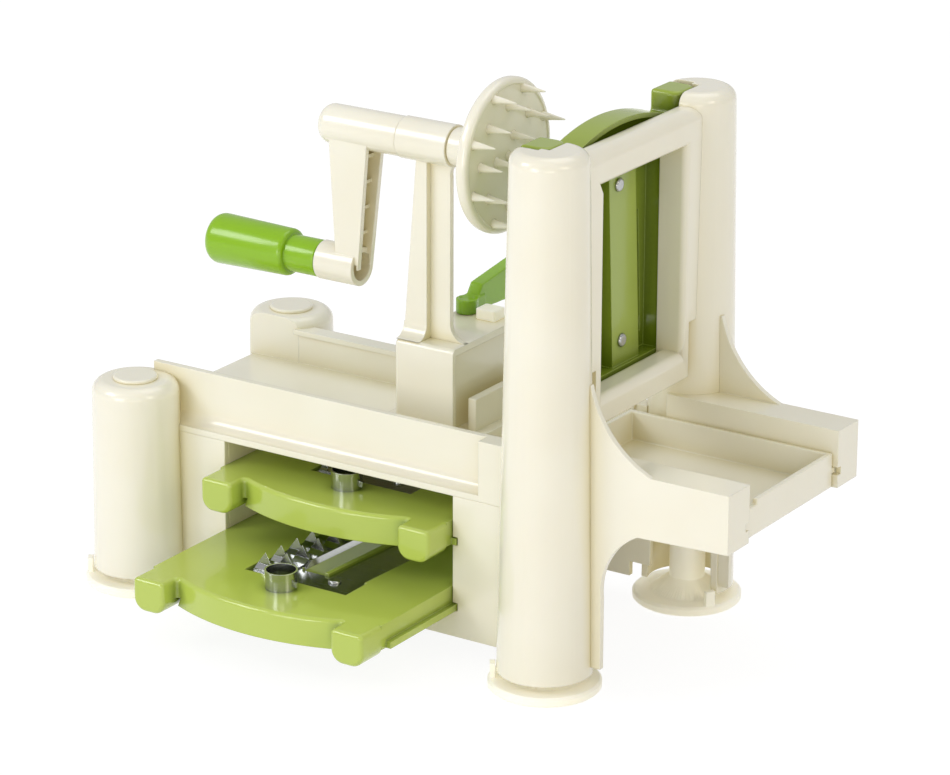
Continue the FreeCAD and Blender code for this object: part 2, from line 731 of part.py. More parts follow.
def insert_blade(style):
    """The steel blade: a foot plate across the opening and a long cutting strip."""
    bar_u0, bar_u1, slot_u1 = style
    bottom = INSERT_T - POCKET_DEPTH
    top = bottom + BLADE_T
    run = SLOT_V1 - STRIP_MARGIN - SLOT_V0 - STRIP_MARGIN
    corner = V(bar_u1 - EDGE_T, SLOT_V0 + STRIP_MARGIN, 0)
    edge = [
        (corner.x, corner.y, bottom),
        (corner.x + EDGE_T, corner.y, bottom),
        (corner.x + EDGE_REACH, corner.y, bottom + EDGE_LIFT),
        (corner.x + EDGE_REACH - EDGE_T, corner.y, bottom + EDGE_LIFT),
        (corner.x - EDGE_T, corner.y, top),
    ]
    lip = slanted(prism(outline(edge[0], edge[1:]), V(0, run, 0)), style)
    blade = blade_form(style, 0.0, bottom, top).fuse(lip)
    blade = blade.cut(rod_z(RING_R + SEAT_GAP, 0, RING_V, 0, INSERT_T + 1))
    for u, v in rivet_places(style):
        blade = blade.cut(rod_z(RIVET_R + RUN_GAP, u, v, 0, INSERT_T + 1))
    return blade.removeSplitter()


def insert_ring():
    """The round corer at the crank's axis, flared at its rim, with a small spur."""
    top = INSERT_T + RING_H
    waist = (INSERT_T + top) / 2
    rim = RING_R + RING_FLARE
    profile = [
        (RING_R - RING_WALL, RING_SEAT_W),
        (RING_R, RING_SEAT_W),
        (RING_R, waist),
        (rim, top),
        (rim - RING_WALL, top),
        (RING_R - RING_WALL, waist),
    ]
    tube = turned(profile, V(0, RING_V, 0), V(0, 0, 1))
    spur = block(
        RING_R - RING_WALL / 2, RING_R + SPUR_L, RING_V - SPUR_W / 2, RING_V + SPUR_W / 2,
        waist - SPUR_Z, waist,
    )
    return tube.fuse(spur).removeSplitter()


def insert_comb(style, columns):
    """A strip with staggered columns of upright triangular teeth, on the blade."""
    bar_u0, bar_u1, slot_u1 = style
    base_w = INSERT_T - POCKET_DEPTH + BLADE_T
    u0 = bar_u0 + STRIP_MARGIN + COMB_MARGIN
    u1 = bar_u1 - 3 * EDGE_T
    v0 = FOOT_STRIP_V0 + STRIP_MARGIN + COMB_MARGIN
    v1 = LOW_RIVET_V - RIVET_HEAD_R - COMB_MARGIN
    width = (u1 - u0) / columns
    pitch = width * TOOTH_PITCH_SHARE
    comb = block(u0, u1, v0, v1, base_w, base_w + TOOTH_T)
    teeth = []
    for column in range(columns):
        u = u0 + column * width
        v = v0 + (column % 2) * pitch / 2
        while v + TOOTH_T <= v1:
            points = [
                (u, v, base_w),
                (u + width, v, base_w),
                (u + width, v, base_w + TOOTH_T),
                (u + width / 2, v, base_w + TOOTH_PROPORTION * width),
                (u, v, base_w + TOOTH_T),
            ]
            teeth.append(prism(outline(points[0], points[1:]), V(0, TOOTH_T, 0)))
            v += pitch
    return slanted(comb.fuse(teeth), style).removeSplitter()


def rivet(u, v, back, front, front_head):
    """One rivet with a domed head at the back and, if asked, at the front."""
    radius = RIVET_HEAD_R
    dome = RIVET_HEAD_H * 0.8
    body = rod_z(RIVET_R, u, v, back - RIVET_HEAD_H / 2, front)
    tail = rounded_post(radius, radius, u, v, 0, RIVET_HEAD_H, dome)
    tail.rotate(V(u, v, 0), V(1, 0, 0), 180)
    tail.translate(V(0, 0, back))
    body = body.fuse(tail)
    if front_head:
        body = body.fuse(rounded_post(radius, radius, u, v, front, front + RIVET_HEAD_H, dome))
    return body


def insert_rivets(style):
    """Three domed rivets: two through the bar and one through the blade's foot."""
    blade_top = INSERT_T - POCKET_DEPTH + BLADE_T
    top, low, front = rivet_places(style)
    return Part.makeCompound([
        rivet(top[0], top[1], BAR_BACK_W, RING_SEAT_W - 2 * SEAT_GAP, False),
        rivet(low[0], low[1], BAR_BACK_W, blade_top, True),
        rivet(front[0], front[1], INSERT_T - SKIN_T, blade_top, True),
    ])


def stored(shape, level, front_y):
    """Lay an insert flat in one of the two slots."""
    laid = shape.copy()
    laid.translate(V(INSERT_X, front_y, LOWER_INSERT_Z + level * SLOT_PITCH))
    return laid


def upright(shape):
    """Stand an insert in the window frame, blade side towards the crank."""
    stood = shape.copy()
    turn = FreeCAD.Rotation(V(0, 1, 0), V(0, 0, -1), V(-1, 0, 0), "XYZ")
    seat = FreeCAD.Placement(V(INSERT_BACK_X, 0, WORK_INSERT_TOP_Z), turn)
    stood.Placement = seat.multiply(stood.Placement)
    return stood


def window_frame():
    """The window between the tall posts that backs the working insert."""
    panel = block(
        FRAME_BACK_X, FRAME_FRONT_X, -FRAME_HALF_Y, FRAME_HALF_Y, FRAME_SILL_BOTTOM_Z, FRAME_TOP_Z,
    )
    panel = round_edges(panel, FRAME_ROUND, V(0, 1, 0), lambda p: p.z > FRAME_TOP_Z - 1)
    window = block(
        FRAME_BACK_X - 1, FRAME_FRONT_X + 1, -WINDOW_HALF_Y, WINDOW_HALF_Y, WINDOW_BOTTOM_Z, WINDOW_TOP_Z,
    )
    panel = panel.cut(window)
    panel = round_edges(
        panel, WINDOW_SILL_ROUND, V(0, 1, 0),
        lambda p: abs(p.z - WINDOW_BOTTOM_Z) < 0.1 and abs(p.y) < 1,
    )
    strip_z = WORK_INSERT_TOP_Z - ARCH_END_V - ARCH_T - SLIDE_GAP
    panel = panel.cut(block(
        FRAME_BACK_X - 1, INSERT_BACK_X + ARCH_DROP + SLIDE_GAP, -EAR_U, EAR_U, strip_z, FRAME_TOP_Z + 1,
    ))
    beam = arm_outline(-ARM_OUT_Y, -ARM_IN_Y)
    for solid in (tall_post_outer(-1), tall_post_outer(1), beam, mirrored(beam)):
        panel = panel.cut(solid)
    return panel.removeSplitter()


def sweep_point(end_x, top_z, root_x):
    """A point on the concave sweep between the arm's level top and its root."""
    return (root_x + ARM_CURVE_X * (end_x - root_x), top_z + ARM_CURVE_Z * (ARM_ROOT_Z - top_z))


def arm_outline(y0, y1):
    """The arm's outer side: swept down from the post, then level to its end."""
    start = (0, ARM_BOTTOM_Z - 2.0)
    steps = [
        (SIDE_PLATE_X, ARM_BOTTOM_Z - 2.0),
        (ARM_END_X, ARM_BOTTOM_Z),
        (ARM_END_X, ARM_TOP_Z),
        (ARM_SWEEP_X, ARM_TOP_Z),
        (sweep_point(ARM_SWEEP_X, ARM_TOP_Z, ARM_ROOT_X), (ARM_ROOT_X, ARM_ROOT_Z)),
        (0, ARM_ROOT_Z),
    ]
    return side_profile(start, steps, y0, y1)


def arm_beam():
    """The arm's level beam, hollow and open underneath."""
    beam = side_profile(
        (0, ARM_BOTTOM_Z - 2.0),
        [
            (SIDE_PLATE_X, ARM_BOTTOM_Z - 2.0),
            (ARM_END_X, ARM_BOTTOM_Z),
            (ARM_END_X, ARM_TOP_Z),
            (0, ARM_TOP_Z),
        ],
        -ARM_OUT_Y, -ARM_IN_Y,
    )
    core = block(
        ARM_WALL, ARM_END_X - ARM_WALL, -ARM_OUT_Y + ARM_WALL, -ARM_IN_Y - ARM_WALL,
        ARM_BOTTOM_Z - 3.0, ARM_TOP_Z - ARM_WALL,
    )
    return beam.cut(core)


def arm(side):
    """An outfeed arm: a hollow beam beside the tray, with the side plate down to the foot."""
    beam = arm_beam().fuse(arm_outline(-ARM_OUT_Y, -ARM_OUT_Y + ARM_WALL))
    start = (0, SIDE_PLATE_Z)
    steps = [
        (SIDE_PLATE_X, SIDE_PLATE_Z),
        (SIDE_PLATE_X, SIDE_STRAIGHT_Z),
        ((SIDE_ARC_X, SIDE_ARC_Z), (SIDE_ARC_END_X, ARM_BOTTOM_Z - 0.8)),
        (0, ARM_BOTTOM_Z - 0.8),
    ]
    plate = side_profile(start, steps, -ARM_OUT_Y, -ARM_OUT_Y + ARM_WALL)
    whole = beam.fuse(plate)
    groove = block(
        0, ARM_END_X + 1, -ARM_IN_Y - TRAY_RUNNER_T - SLIDE_GAP, -ARM_IN_Y + 1,
        TRAY_RUNNER_Z - SLIDE_GAP, TRAY_RUNNER_Z + TRAY_RUNNER_H + SLIDE_GAP,
    )
    whole = whole.cut(groove)
    whole = whole.cut(tall_post_outer(-1))
    if side > 0:
        whole = mirrored(whole)
    return whole.removeSplitter()


def catch_tray():
    """The shallow tray between the arms, with a runner along each side."""
    half = ARM_IN_Y - SLIDE_GAP
    tray = block(TRAY_BACK_X, TRAY_FRONT_X, -half, half, TRAY_BOTTOM_Z, TRAY_TOP_Z)
    tray = tray.cut(block(
        TRAY_BACK_X + TRAY_WALL, TRAY_FRONT_X - TRAY_WALL, -half + TRAY_WALL, half - TRAY_WALL,
        TRAY_BOTTOM_Z + TRAY_WALL, TRAY_TOP_Z + 1,
    ))
    for side in (-1, 1):
        y0, y1 = sorted((side * (half - 1), side * (half + TRAY_RUNNER_T)))
        runner = block(
            TRAY_RUNNER_X, TRAY_FRONT_X, y0, y1, TRAY_RUNNER_Z, TRAY_RUNNER_Z + TRAY_RUNNER_H,
        )
        tray = tray.fuse(runner)
    notch = block(
        TRAY_FRONT_X - TRAY_WALL - 1, TRAY_FRONT_X + 1, -half + TRAY_WALL, -half + TRAY_WALL + 8,
        TRAY_TOP_Z - 2.5, TRAY_TOP_Z + 1,
    )
    return tray.cut(notch).removeSplitter()


def slider_base():
    """The carriage's base plate, guided between the rails and held under the lip."""
    plate = block(
        BASE_X0, BASE_X1, CHANNEL_NEAR_Y + SLIDE_GAP, FAR_RAIL_Y - SLIDE_GAP, DECK_Z + SLIDE_GAP, BASE_TOP_Z,
    )
    guard = block(GUARD_X, GUARD_X + GUARD_T, GUARD_Y0, BLOCK_Y1, BASE_TOP_Z - 0.5, GUARD_TOP_Z)
    tongue = block(
        BASE_X0, BASE_X1, FAR_RAIL_Y - SLIDE_GAP - 3.0, FAR_RAIL_Y - SLIDE_GAP,
        BASE_TOP_Z - 0.5, FAR_RAIL_TOP_Z - LIP_T - SLIDE_GAP,
    )
    return plate.fuse(guard).fuse(tongue)


def slider_block():
    """The hollow box that carries the column, with a recessed front panel."""
    box = block(BLOCK_X0, BLOCK_X1, BLOCK_Y0, BLOCK_Y1, BASE_TOP_Z, BLOCK_TOP_Z)
    box = round_edges(box, 2.5, V(1, 0, 0), lambda p: p.z > BLOCK_TOP_Z - 1 and p.y < 0)
    box = round_edges(box, 2.0, V(0, 0, 1), lambda p: p.x < BLOCK_X0 + 1 and p.y < 0)
    room = block(
        BLOCK_X0 + BLOCK_WALL, BLOCK_X1 - BLOCK_WALL - PANEL_DEPTH, BLOCK_Y0 + BLOCK_WALL,
        BLOCK_Y1 - BLOCK_WALL, BASE_TOP_Z - 1, BLOCK_TOP_Z - BLOCK_WALL - 3.0,
    )
    panel = block(
        BLOCK_X1 - PANEL_DEPTH, BLOCK_X1 + 1, BLOCK_Y0 + 2.4, BLOCK_Y1 - 2.4, BASE_TOP_Z - 1, BLOCK_TOP_Z - 3.2,
    )
    pin_hole = rod_z(LEVER_PIN_R + RUN_GAP, LEVER_X, LEVER_Y, BLOCK_TOP_Z - 6, BLOCK_TOP_Z + 1)
    return box.cut(room).cut(panel).cut(pin_hole)


def crank_column():
    """The upright: a tapered rib, a thin web and the bearing head."""
    rib = side_profile(
        (BLOCK_X0 + 0.5, BLOCK_TOP_Z),
        [(COLUMN_RIB_X, BLOCK_TOP_Z), (COLUMN_RIB_X, AXIS_Z), (COLUMN_TOP_X, AXIS_Z)],
        -COLUMN_RIB_HALF_Y, COLUMN_RIB_HALF_Y,
    )
    foot = 8.0
    head = 6.0
    k = 1 - math.sqrt(0.5)
    web_top = AXIS_Z - HEAD_R + 1.0
    web = side_profile(
        (COLUMN_RIB_X - 1, BLOCK_TOP_Z),
        [
            (COLUMN_WEB_X + foot, BLOCK_TOP_Z),
            (
                (COLUMN_WEB_X + foot * k, BLOCK_TOP_Z + foot * k),
                (COLUMN_WEB_X, BLOCK_TOP_Z + foot),
            ),
            (COLUMN_WEB_X, web_top - head),
            ((COLUMN_WEB_X + 0.6, web_top - head * k), (COLUMN_WEB_X + 2.0, web_top)),
            (COLUMN_WEB_X + 2.0, AXIS_Z),
            (COLUMN_RIB_X - 1, AXIS_Z),
        ],
        -COLUMN_WEB_HALF_Y, COLUMN_WEB_HALF_Y,
    )
    flare = []
    spread = 6.5
    for side in (-1, 1):
        y_in = side * (COLUMN_RIB_HALF_Y - 0.5)
        y_face = side * COLUMN_RIB_HALF_Y
        y_toe = side * (COLUMN_RIB_HALF_Y + spread)
        wire = outline(
            (BLOCK_X0 + 0.5, y_in, BLOCK_TOP_Z),
            [
                (BLOCK_X0 + 0.5, y_toe, BLOCK_TOP_Z),
                (
                    (BLOCK_X0 + 0.5, y_face + side * spread * k, BLOCK_TOP_Z + spread * k),
                    (BLOCK_X0 + 0.5, y_face, BLOCK_TOP_Z + spread),
                ),
                (BLOCK_X0 + 0.5, y_in, BLOCK_TOP_Z + spread),
            ],
        )
        flare.append(prism(wire, V(COLUMN_RIB_X - BLOCK_X0 - 0.5, 0, 0)))
    column = rib.fuse(web).fuse(flare[0]).fuse(flare[1]).fuse(rod_x(HEAD_R, HEAD_X0, HEAD_X1, 0, AXIS_Z))
    column = column.cut(rod_x(SHAFT_R + RUN_GAP + BUSH_WALL + RUN_GAP, HEAD_X0 - 1, HEAD_X1 + 1, 0, AXIS_Z))
    below = block(-CUT_REACH, 0, -CUT_REACH, CUT_REACH, 0, BLOCK_TOP_Z)
    return column.cut(below).removeSplitter()


def shaft_bushes():
    """Two plain bushes in the column head that the shaft turns in."""
    length = (HEAD_X1 - HEAD_X0) * 0.36
    bushes = []
    for x0 in (HEAD_X0, HEAD_X1 - length):
        bush = rod_x(SHAFT_R + RUN_GAP + BUSH_WALL, x0, x0 + length, 0, AXIS_Z)
        bushes.append(bush.cut(rod_x(SHAFT_R + RUN_GAP, x0 - 1, x0 + length + 1, 0, AXIS_Z)))
    return Part.makeCompound(bushes)


def crank_shaft():
    """The steel shaft from the crank's hub to the prong wheel."""
    return rod_x(SHAFT_R, HUB_X0 + HUB_R, WHEEL_X, 0, AXIS_Z)


def crank_arm():
    """The crank: hub, tapered arm open on its inner side, and the grip boss."""
    hub = rod_x(HUB_R, HUB_X0, HEAD_X0 - SEAT_GAP, 0, AXIS_Z)
    rim = [edge for edge in hub.Edges if abs(edge.CenterOfMass.x - HUB_X0) < 1e-6 and len(edge.Vertexes) == 1]
    hub = hub.makeFillet(HUB_ROUND, rim)
    shell = arm_taper(0.0)
    core = arm_taper(CRANK_WALL)
    core.translate(V(CRANK_WALL, 0, 0))
    boss = rod_x(BOSS_R, BOSS_X0, BOSS_X1, 0, CRANK_Z)
    inside = rod_x(BOSS_R - BOSS_WALL, BOSS_X0 + BOSS_FLOOR_T, BOSS_X1 + 1, 0, CRANK_Z)
    web = shell.cut(core)
    top = AXIS_Z - HUB_R
    bottom = CRANK_Z + BOSS_R
    bay = (top - bottom) / CRANK_RIB_COUNT
    for i in range(CRANK_RIB_COUNT):
        slope = side_profile(
            (CRANK_TOP_X0, bottom + i * bay),
            [
                (CRANK_TOP_X1 + 4, bottom + (i + 1) * bay),
                (CRANK_TOP_X1 + 4, bottom + (i + 1) * bay + CRANK_RIB_T),
                (CRANK_TOP_X0, bottom + i * bay + CRANK_RIB_T),
            ],
            -CRANK_TOP_HALF_Y, CRANK_TOP_HALF_Y,
        )
        web = web.fuse(slope.common(rib_room()))
    body = hub.fuse(web).fuse(boss).cut(inside)
    body = body.cut(rod_x(PIN_R + RUN_GAP, BOSS_X0 - 1, BOSS_X0 + BOSS_FLOOR_T + 1, 0, CRANK_Z))
    return body.cut(rod_x(SHAFT_R + 0.02, HUB_X0 + HUB_R, HEAD_X0 + 1, 0, AXIS_Z)).removeSplitter()


def rib_room():
    """The arm's outer form without its open edge, which the ribs stay inside."""
    room = arm_taper(0.0)
    room.translate(V(-3.5, 0, 0))
    return room.common(arm_taper(0.0))


def arm_taper(wall):
    """The tapering form of the crank's arm, drawn in by a wall on each side."""
    z_top = AXIS_Z
    z_low = CRANK_Z
    top = Part.makePolygon([
        V(CRANK_TOP_X0, -CRANK_TOP_HALF_Y + wall, z_top),
        V(CRANK_TOP_X1 + wall, -CRANK_TOP_HALF_Y + wall, z_top),
        V(CRANK_TOP_X1 + wall, CRANK_TOP_HALF_Y - wall, z_top),
        V(CRANK_TOP_X0, CRANK_TOP_HALF_Y - wall, z_top),
        V(CRANK_TOP_X0, -CRANK_TOP_HALF_Y + wall, z_top),
    ])
    low = Part.makePolygon([
        V(CRANK_LOW_X0, -CRANK_LOW_HALF_Y + wall, z_low),
        V(CRANK_LOW_X1 + wall, -CRANK_LOW_HALF_Y + wall, z_low),
        V(CRANK_LOW_X1 + wall, CRANK_LOW_HALF_Y - wall, z_low),
        V(CRANK_LOW_X0, CRANK_LOW_HALF_Y - wall, z_low),
        V(CRANK_LOW_X0, -CRANK_LOW_HALF_Y + wall, z_low),
    ])
    return Part.makeLoft([low, top], True, True)


def grip():
    """The rotating hand grip with its collar."""
    length = GRIP_SHOULDER_X - GRIP_END_X
    body = Part.makeCone(GRIP_R_END, GRIP_R_SHOULDER, length, V(GRIP_END_X, 0, CRANK_Z), V(1, 0, 0))
    rims = [edge for edge in body.Edges if len(edge.Vertexes) == 1 and isinstance(edge.Curve, Part.Circle)]
    end_rim = [edge for edge in rims if edge.CenterOfMass.x < (GRIP_END_X + GRIP_SHOULDER_X) / 2]
    body = body.makeFillet(GRIP_END_ROUND, end_rim)
    rims = [edge for edge in body.Edges if len(edge.Vertexes) == 1 and isinstance(edge.Curve, Part.Circle)]
    shoulder_rim = [edge for edge in rims if abs(edge.CenterOfMass.x - GRIP_SHOULDER_X) < 1e-6]
    body = body.makeFillet(GRIP_SHOULDER_ROUND, shoulder_rim)
    collar = rod_x(GRIP_COLLAR_R, GRIP_SHOULDER_X - 3, BOSS_X0 - SEAT_GAP, 0, CRANK_Z)
    whole = body.fuse(collar)
    head_x = GRIP_END_X + PIN_INSET
    bore = rod_x(PIN_R + RUN_GAP, head_x, BOSS_X0, 0, CRANK_Z)
    pocket = rod_x(PIN_HEAD_R + SEAT_GAP, head_x - SEAT_GAP, head_x + PIN_HEAD_H, 0, CRANK_Z)
    return whole.cut(bore).cut(pocket)


def grip_pin():
    """The pin through the boss that the grip turns on, headed at both ends."""
    x_head = GRIP_END_X + PIN_INSET
    floor_x = BOSS_X0 + BOSS_FLOOR_T
    pin = rod_x(PIN_R, x_head, floor_x + PIN_HEAD_H, 0, CRANK_Z)
    inner_head = rod_x(PIN_HEAD_R, x_head, x_head + PIN_HEAD_H - SEAT_GAP, 0, CRANK_Z)
    outer_head = rod_x(PIN_HEAD_R, floor_x, floor_x + PIN_HEAD_H, 0, CRANK_Z)
    return pin.fuse(inner_head).fuse(outer_head)


def prong_wheel():
    """The disc that the prongs stand on, bored for the shaft."""
    back_x = WHEEL_X - WHEEL_T / 2
    disc = rod_x(WHEEL_R, back_x, back_x + WHEEL_T, 0, AXIS_Z)
    rims = [edge for edge in disc.Edges if len(edge.Vertexes) == 1]
    return disc.makeFillet(WHEEL_T * WHEEL_RIM_SHARE, rims).cut(rod_x(SHAFT_R + 0.02, back_x - 1, WHEEL_X, 0, AXIS_Z))


def wheel_neck():
    """The sleeve round the shaft between the column head and the disc."""
    x0 = HEAD_X1 + SEAT_GAP
    x1 = WHEEL_X - WHEEL_T / 2
    neck = rod_x(NECK_R, x0, x1, 0, AXIS_Z)
    return neck.cut(rod_x(SHAFT_R + 0.02, x0 - 1, x1 + 1, 0, AXIS_Z))


def tine_ring(radius, count, turn):
    """One ring of pointed tines on the wheel's face, the first at a turn in degrees from +Y."""
    face_x = WHEEL_X + WHEEL_T / 2
    tines = []
    for i in range(count):
        angle = math.radians(turn + 360.0 * i / count)
        foot = V(face_x, radius * math.cos(angle), AXIS_Z + radius * math.sin(angle))
        tines.append(Part.makeCone(TINE_R, TINE_TIP_R, TINE_L, foot, V(1, 0, 0)))
    return tines


def wheel_tines():
    """Three rings of pointed tines round a centre spike, on the disc's face."""
    spike_foot = V(WHEEL_X + WHEEL_T / 2, 0, AXIS_Z)
    tines = [Part.makeCone(SPIKE_R, TINE_TIP_R, SPIKE_L, spike_foot, V(1, 0, 0))]
    tines += tine_ring(OUTER_RING_R, OUTER_RING_TINES, OUTER_RING_TURN)
    tines += tine_ring(MIDDLE_RING_R, MIDDLE_RING_TINES, MIDDLE_RING_TURN)
    tines += tine_ring(INNER_RING_R, INNER_RING_TINES, INNER_RING_TURN)
    return Part.makeCompound(tines)


def lever():
    """The push lever: a round pad on its pin and a paddle that rises outwards."""
    z0 = BLOCK_TOP_Z + SEAT_GAP
    pad = rod_z(LEVER_PAD_R, LEVER_X, LEVER_Y, z0, z0 + LEVER_PAD_T)
    neck = block(
        LEVER_X - LEVER_PAD_R * 0.8, LEVER_X + LEVER_PAD_R * 0.8, LEVER_Y, LEVER_RISE_Y + 2, z0, z0 + LEVER_PAD_T,
    )
    half = LEVER_BLADE_T / 2
    wire = outline(
        (LEVER_X - half, LEVER_RISE_Y - 3, z0),
        [
            (LEVER_X - half, LEVER_TIP_Y - LEVER_TIP_ROUND, z0 - 1.5),
            (
                (LEVER_X - half, LEVER_TIP_Y, z0 + LEVER_TIP_ROUND),
                (LEVER_X - half, LEVER_TIP_Y - LEVER_TIP_ROUND + 1, LEVER_BLADE_TOP_Z),
            ),
            (LEVER_X - half, LEVER_BACK_Y, LEVER_BACK_Z),
            (LEVER_X - half, LEVER_RISE_Y - 3, z0 + LEVER_PAD_T),
        ],
    )
    paddle = prism(wire, V(LEVER_BLADE_T, 0, 0))
    body = pad.fuse(neck).fuse(paddle)
    pad_top = z0 + LEVER_PAD_T
    dish = rod_z(LEVER_DISH_R, LEVER_X, LEVER_Y, pad_top - LEVER_DISH_DEPTH, pad_top + 1)
    bore = rod_z(LEVER_PIN_R + RUN_GAP, LEVER_X, LEVER_Y, z0 - 1, pad_top - LEVER_SKIN_T)
    return body.cut(dish).cut(bore)


def lever_pin():
    """The pin in the block that the lever's pad turns on."""
    top = BLOCK_TOP_Z + SEAT_GAP + LEVER_PAD_T - LEVER_SKIN_T - SEAT_GAP
    return rod_z(LEVER_PIN_R, LEVER_X, LEVER_Y, BLOCK_TOP_Z - 5.5, top)


def lever_stop():
    """The small block that stops the lever."""
    stop = block(STOP_X0, STOP_X1, STOP_Y0, STOP_Y1, BLOCK_TOP_Z, BLOCK_TOP_Z + STOP_H)
    return round_edges(stop, 1.2, V(0, 0, 1), lambda p: True)


PLACE = {
    "work": upright,
    "upper": lambda shape: stored(shape, 1, UPPER_INSERT_Y),
    "lower": lambda shape: stored(shape, 0, LOWER_INSERT_Y),
}


def save(name, shape):
    """Write one node, moved so that the footprint's middle is the origin."""
    moved = shape.copy()
    moved.translate(V(-ORIGIN_X, -ORIGIN_Y, 0))
    moved.exportStep("parts/%s.step" % name)


def build():
    """Make every node of the object."""
    nodes = {
        "near_side_wall": side_wall(-1),
        "far_side_wall": side_wall(1),
        "end_wall": end_wall(),
        "deck": deck(),
        "near_short_post": short_post(-1),
        "far_short_post": short_post(1),
        "near_tall_post": tall_post(-1),
        "far_tall_post": tall_post(1),
        "post_plugs": Part.makeCompound([post_plug(-1), post_plug(1)]),
        "window_frame": window_frame(),
        "near_arm": arm(-1),
        "far_arm": arm(1),
        "left_slot_guide": slot_guide(-1),
        "right_slot_guide": slot_guide(1),
        "catch_tray": catch_tray(),
        "slider_base": slider_base(),
        "slider_block": slider_block(),
        "crank_column": crank_column(),
        "shaft_bushes": shaft_bushes(),
        "lever_stop": lever_stop(),
        "lever_pin": lever_pin(),
        "push_lever": lever(),
        "crank_shaft": crank_shaft(),
        "crank_arm": crank_arm(),
        "prong_wheel": prong_wheel(),
        "wheel_neck": wheel_neck(),
        "wheel_tines": wheel_tines(),
        "grip_pin": grip_pin(),
        "hand_grip": grip(),
    }
    feet = {
        "foot_near_short": (SHORT_POST_X, -POST_Y, -1),
        "foot_far_short": (SHORT_POST_X, POST_Y, -1),
        "foot_near_tall": (0, -POST_Y, -1),
        "foot_far_tall": (0, POST_Y, 1),
    }
    for name, (x, y, outward) in feet.items():
        nodes[name] = suction_foot(x, y, outward)
    nodes["foot_nuts"] = Part.makeCompound([foot_nut(x, y) for x, y, _ in feet.values()])
    styles = {"work": PLAIN_STYLE, "upper": TOOTHED_STYLE, "lower": TOOTHED_STYLE}
    for name, style in styles.items():
        pieces = {
            "frame": insert_frame(style),
            "blade": insert_blade(style),
            "ring": insert_ring(),
            "rivets": insert_rivets(style),
        }
        if name == "upper":
            pieces["comb"] = insert_comb(style, FINE_COLUMN_COUNT)
        if name == "lower":
            pieces["comb"] = insert_comb(style, COARSE_COLUMN_COUNT)
        for piece, shape in pieces.items():
            nodes["%s_insert_%s" % (name, piece)] = PLACE[name](shape)
    return nodes


os.makedirs("parts", exist_ok=True)
for node_name, node_shape in build().items():
    save(node_name, node_shape)
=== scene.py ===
import logging
import math
from dataclasses import dataclass, field
from enum import Enum
from typing import Any, Callable, Mapping, Optional, Sequence

import bmesh
import bpy
from mathutils import Matrix, Vector


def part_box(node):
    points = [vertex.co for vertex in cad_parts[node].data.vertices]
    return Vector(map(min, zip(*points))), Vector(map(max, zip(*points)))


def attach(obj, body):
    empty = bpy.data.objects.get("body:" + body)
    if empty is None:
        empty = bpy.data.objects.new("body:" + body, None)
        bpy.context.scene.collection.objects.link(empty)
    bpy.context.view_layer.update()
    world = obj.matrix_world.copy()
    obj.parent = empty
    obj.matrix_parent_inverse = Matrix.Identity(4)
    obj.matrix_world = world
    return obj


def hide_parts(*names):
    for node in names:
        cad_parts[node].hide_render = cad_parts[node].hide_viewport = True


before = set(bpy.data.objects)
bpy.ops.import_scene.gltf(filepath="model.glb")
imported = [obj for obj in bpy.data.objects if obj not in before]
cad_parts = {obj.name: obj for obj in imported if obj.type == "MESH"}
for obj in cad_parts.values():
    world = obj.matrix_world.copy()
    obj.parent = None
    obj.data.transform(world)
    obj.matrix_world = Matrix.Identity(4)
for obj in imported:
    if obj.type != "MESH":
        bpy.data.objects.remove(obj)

LOG = logging.getLogger("spiral_slicer")
MM = 0.001
IMAGE_WIDTH_PX = 950
PROBE_SAMPLES = 6
MERGE_MM = 0.002
SEAM_MM = 0.001
SAME_PLACE_M = 1e-6
ON_FACE_MM = 0.05
FLAT_DEGREES = 0.4
MOULD_EDGE_DEGREES = 38.0
TURNED_SMOOTH_DEGREES = 30.0
SMALL_SMOOTH_DEGREES = 40.0
WHITE = (1.0, 1.0, 1.0, 1.0)
# The colour sockets of a Mix node, whose names repeat for its other data types
MIX_FROM = 6
MIX_TO = 7
MIX_RESULT = 2


class Slot(Enum):
    """The finishes that the slicer's pieces are moulded or pressed in."""

    IVORY = "ivory_plastic"
    FOOT = "foot_plastic"
    LEAF = "leaf_green_plastic"
    GRIP = "grip_green_plastic"
    STEEL = "blade_steel"


class Lie(Enum):
    """How a blade insert lies: flat in its slot, or upright in the window."""

    FLAT = "flat"
    UPRIGHT = "upright"


class Body(Enum):
    """The bodies that move by themselves."""

    BASE = "base"
    TRAY = "tray"
    CARRIAGE = "carriage"
    CRANK = "crank"
    GRIP = "grip"
    LEVER = "lever"
    WORK = "work_insert"
    UPPER = "upper_insert"
    LOWER = "lower_insert"


def linear(hex_colour: str) -> tuple[float, float, float, float]:
    """Turns an sRGB hex colour into the linear colour that the shaders take.

    Args:
        hex_colour: six hex digits with a hash in front.

    Returns:
        Linear red, green, blue and an alpha of one.
    """
    parts = [int(hex_colour[i:i + 2], 16) / 255.0 for i in (1, 3, 5)]
    red, green, blue = (
        c / 12.92 if c <= 0.04045 else ((c + 0.055) / 1.055) ** 2.4 for c in parts
    )
    return red, green, blue, 1.0


def add_node(
    tree: bpy.types.NodeTree,
    kind: str,
    settings: Optional[Mapping[str, Any]] = None,
    values: Optional[Mapping[Any, Any]] = None,
    links: Optional[Mapping[Any, bpy.types.NodeSocket]] = None,
) -> bpy.types.Node:
    """Adds one node with its settings, its constants and its links.

    Args:
        tree: the node tree that the node goes into.
        kind: the node's type name.
        settings: attributes of the node and their values.
        values: input sockets, by name or number, and their constants.
        links: input sockets, by name or number, and the outputs that feed them.

    Returns:
        The new node.
    """
    node = tree.nodes.new(kind)
    for name, value in (settings or {}).items():
        setattr(node, name, value)
    for socket, value in (values or {}).items():
        node.inputs[socket].default_value = value
    for socket, source in (links or {}).items():
        tree.links.new(source, node.inputs[socket])
    return node


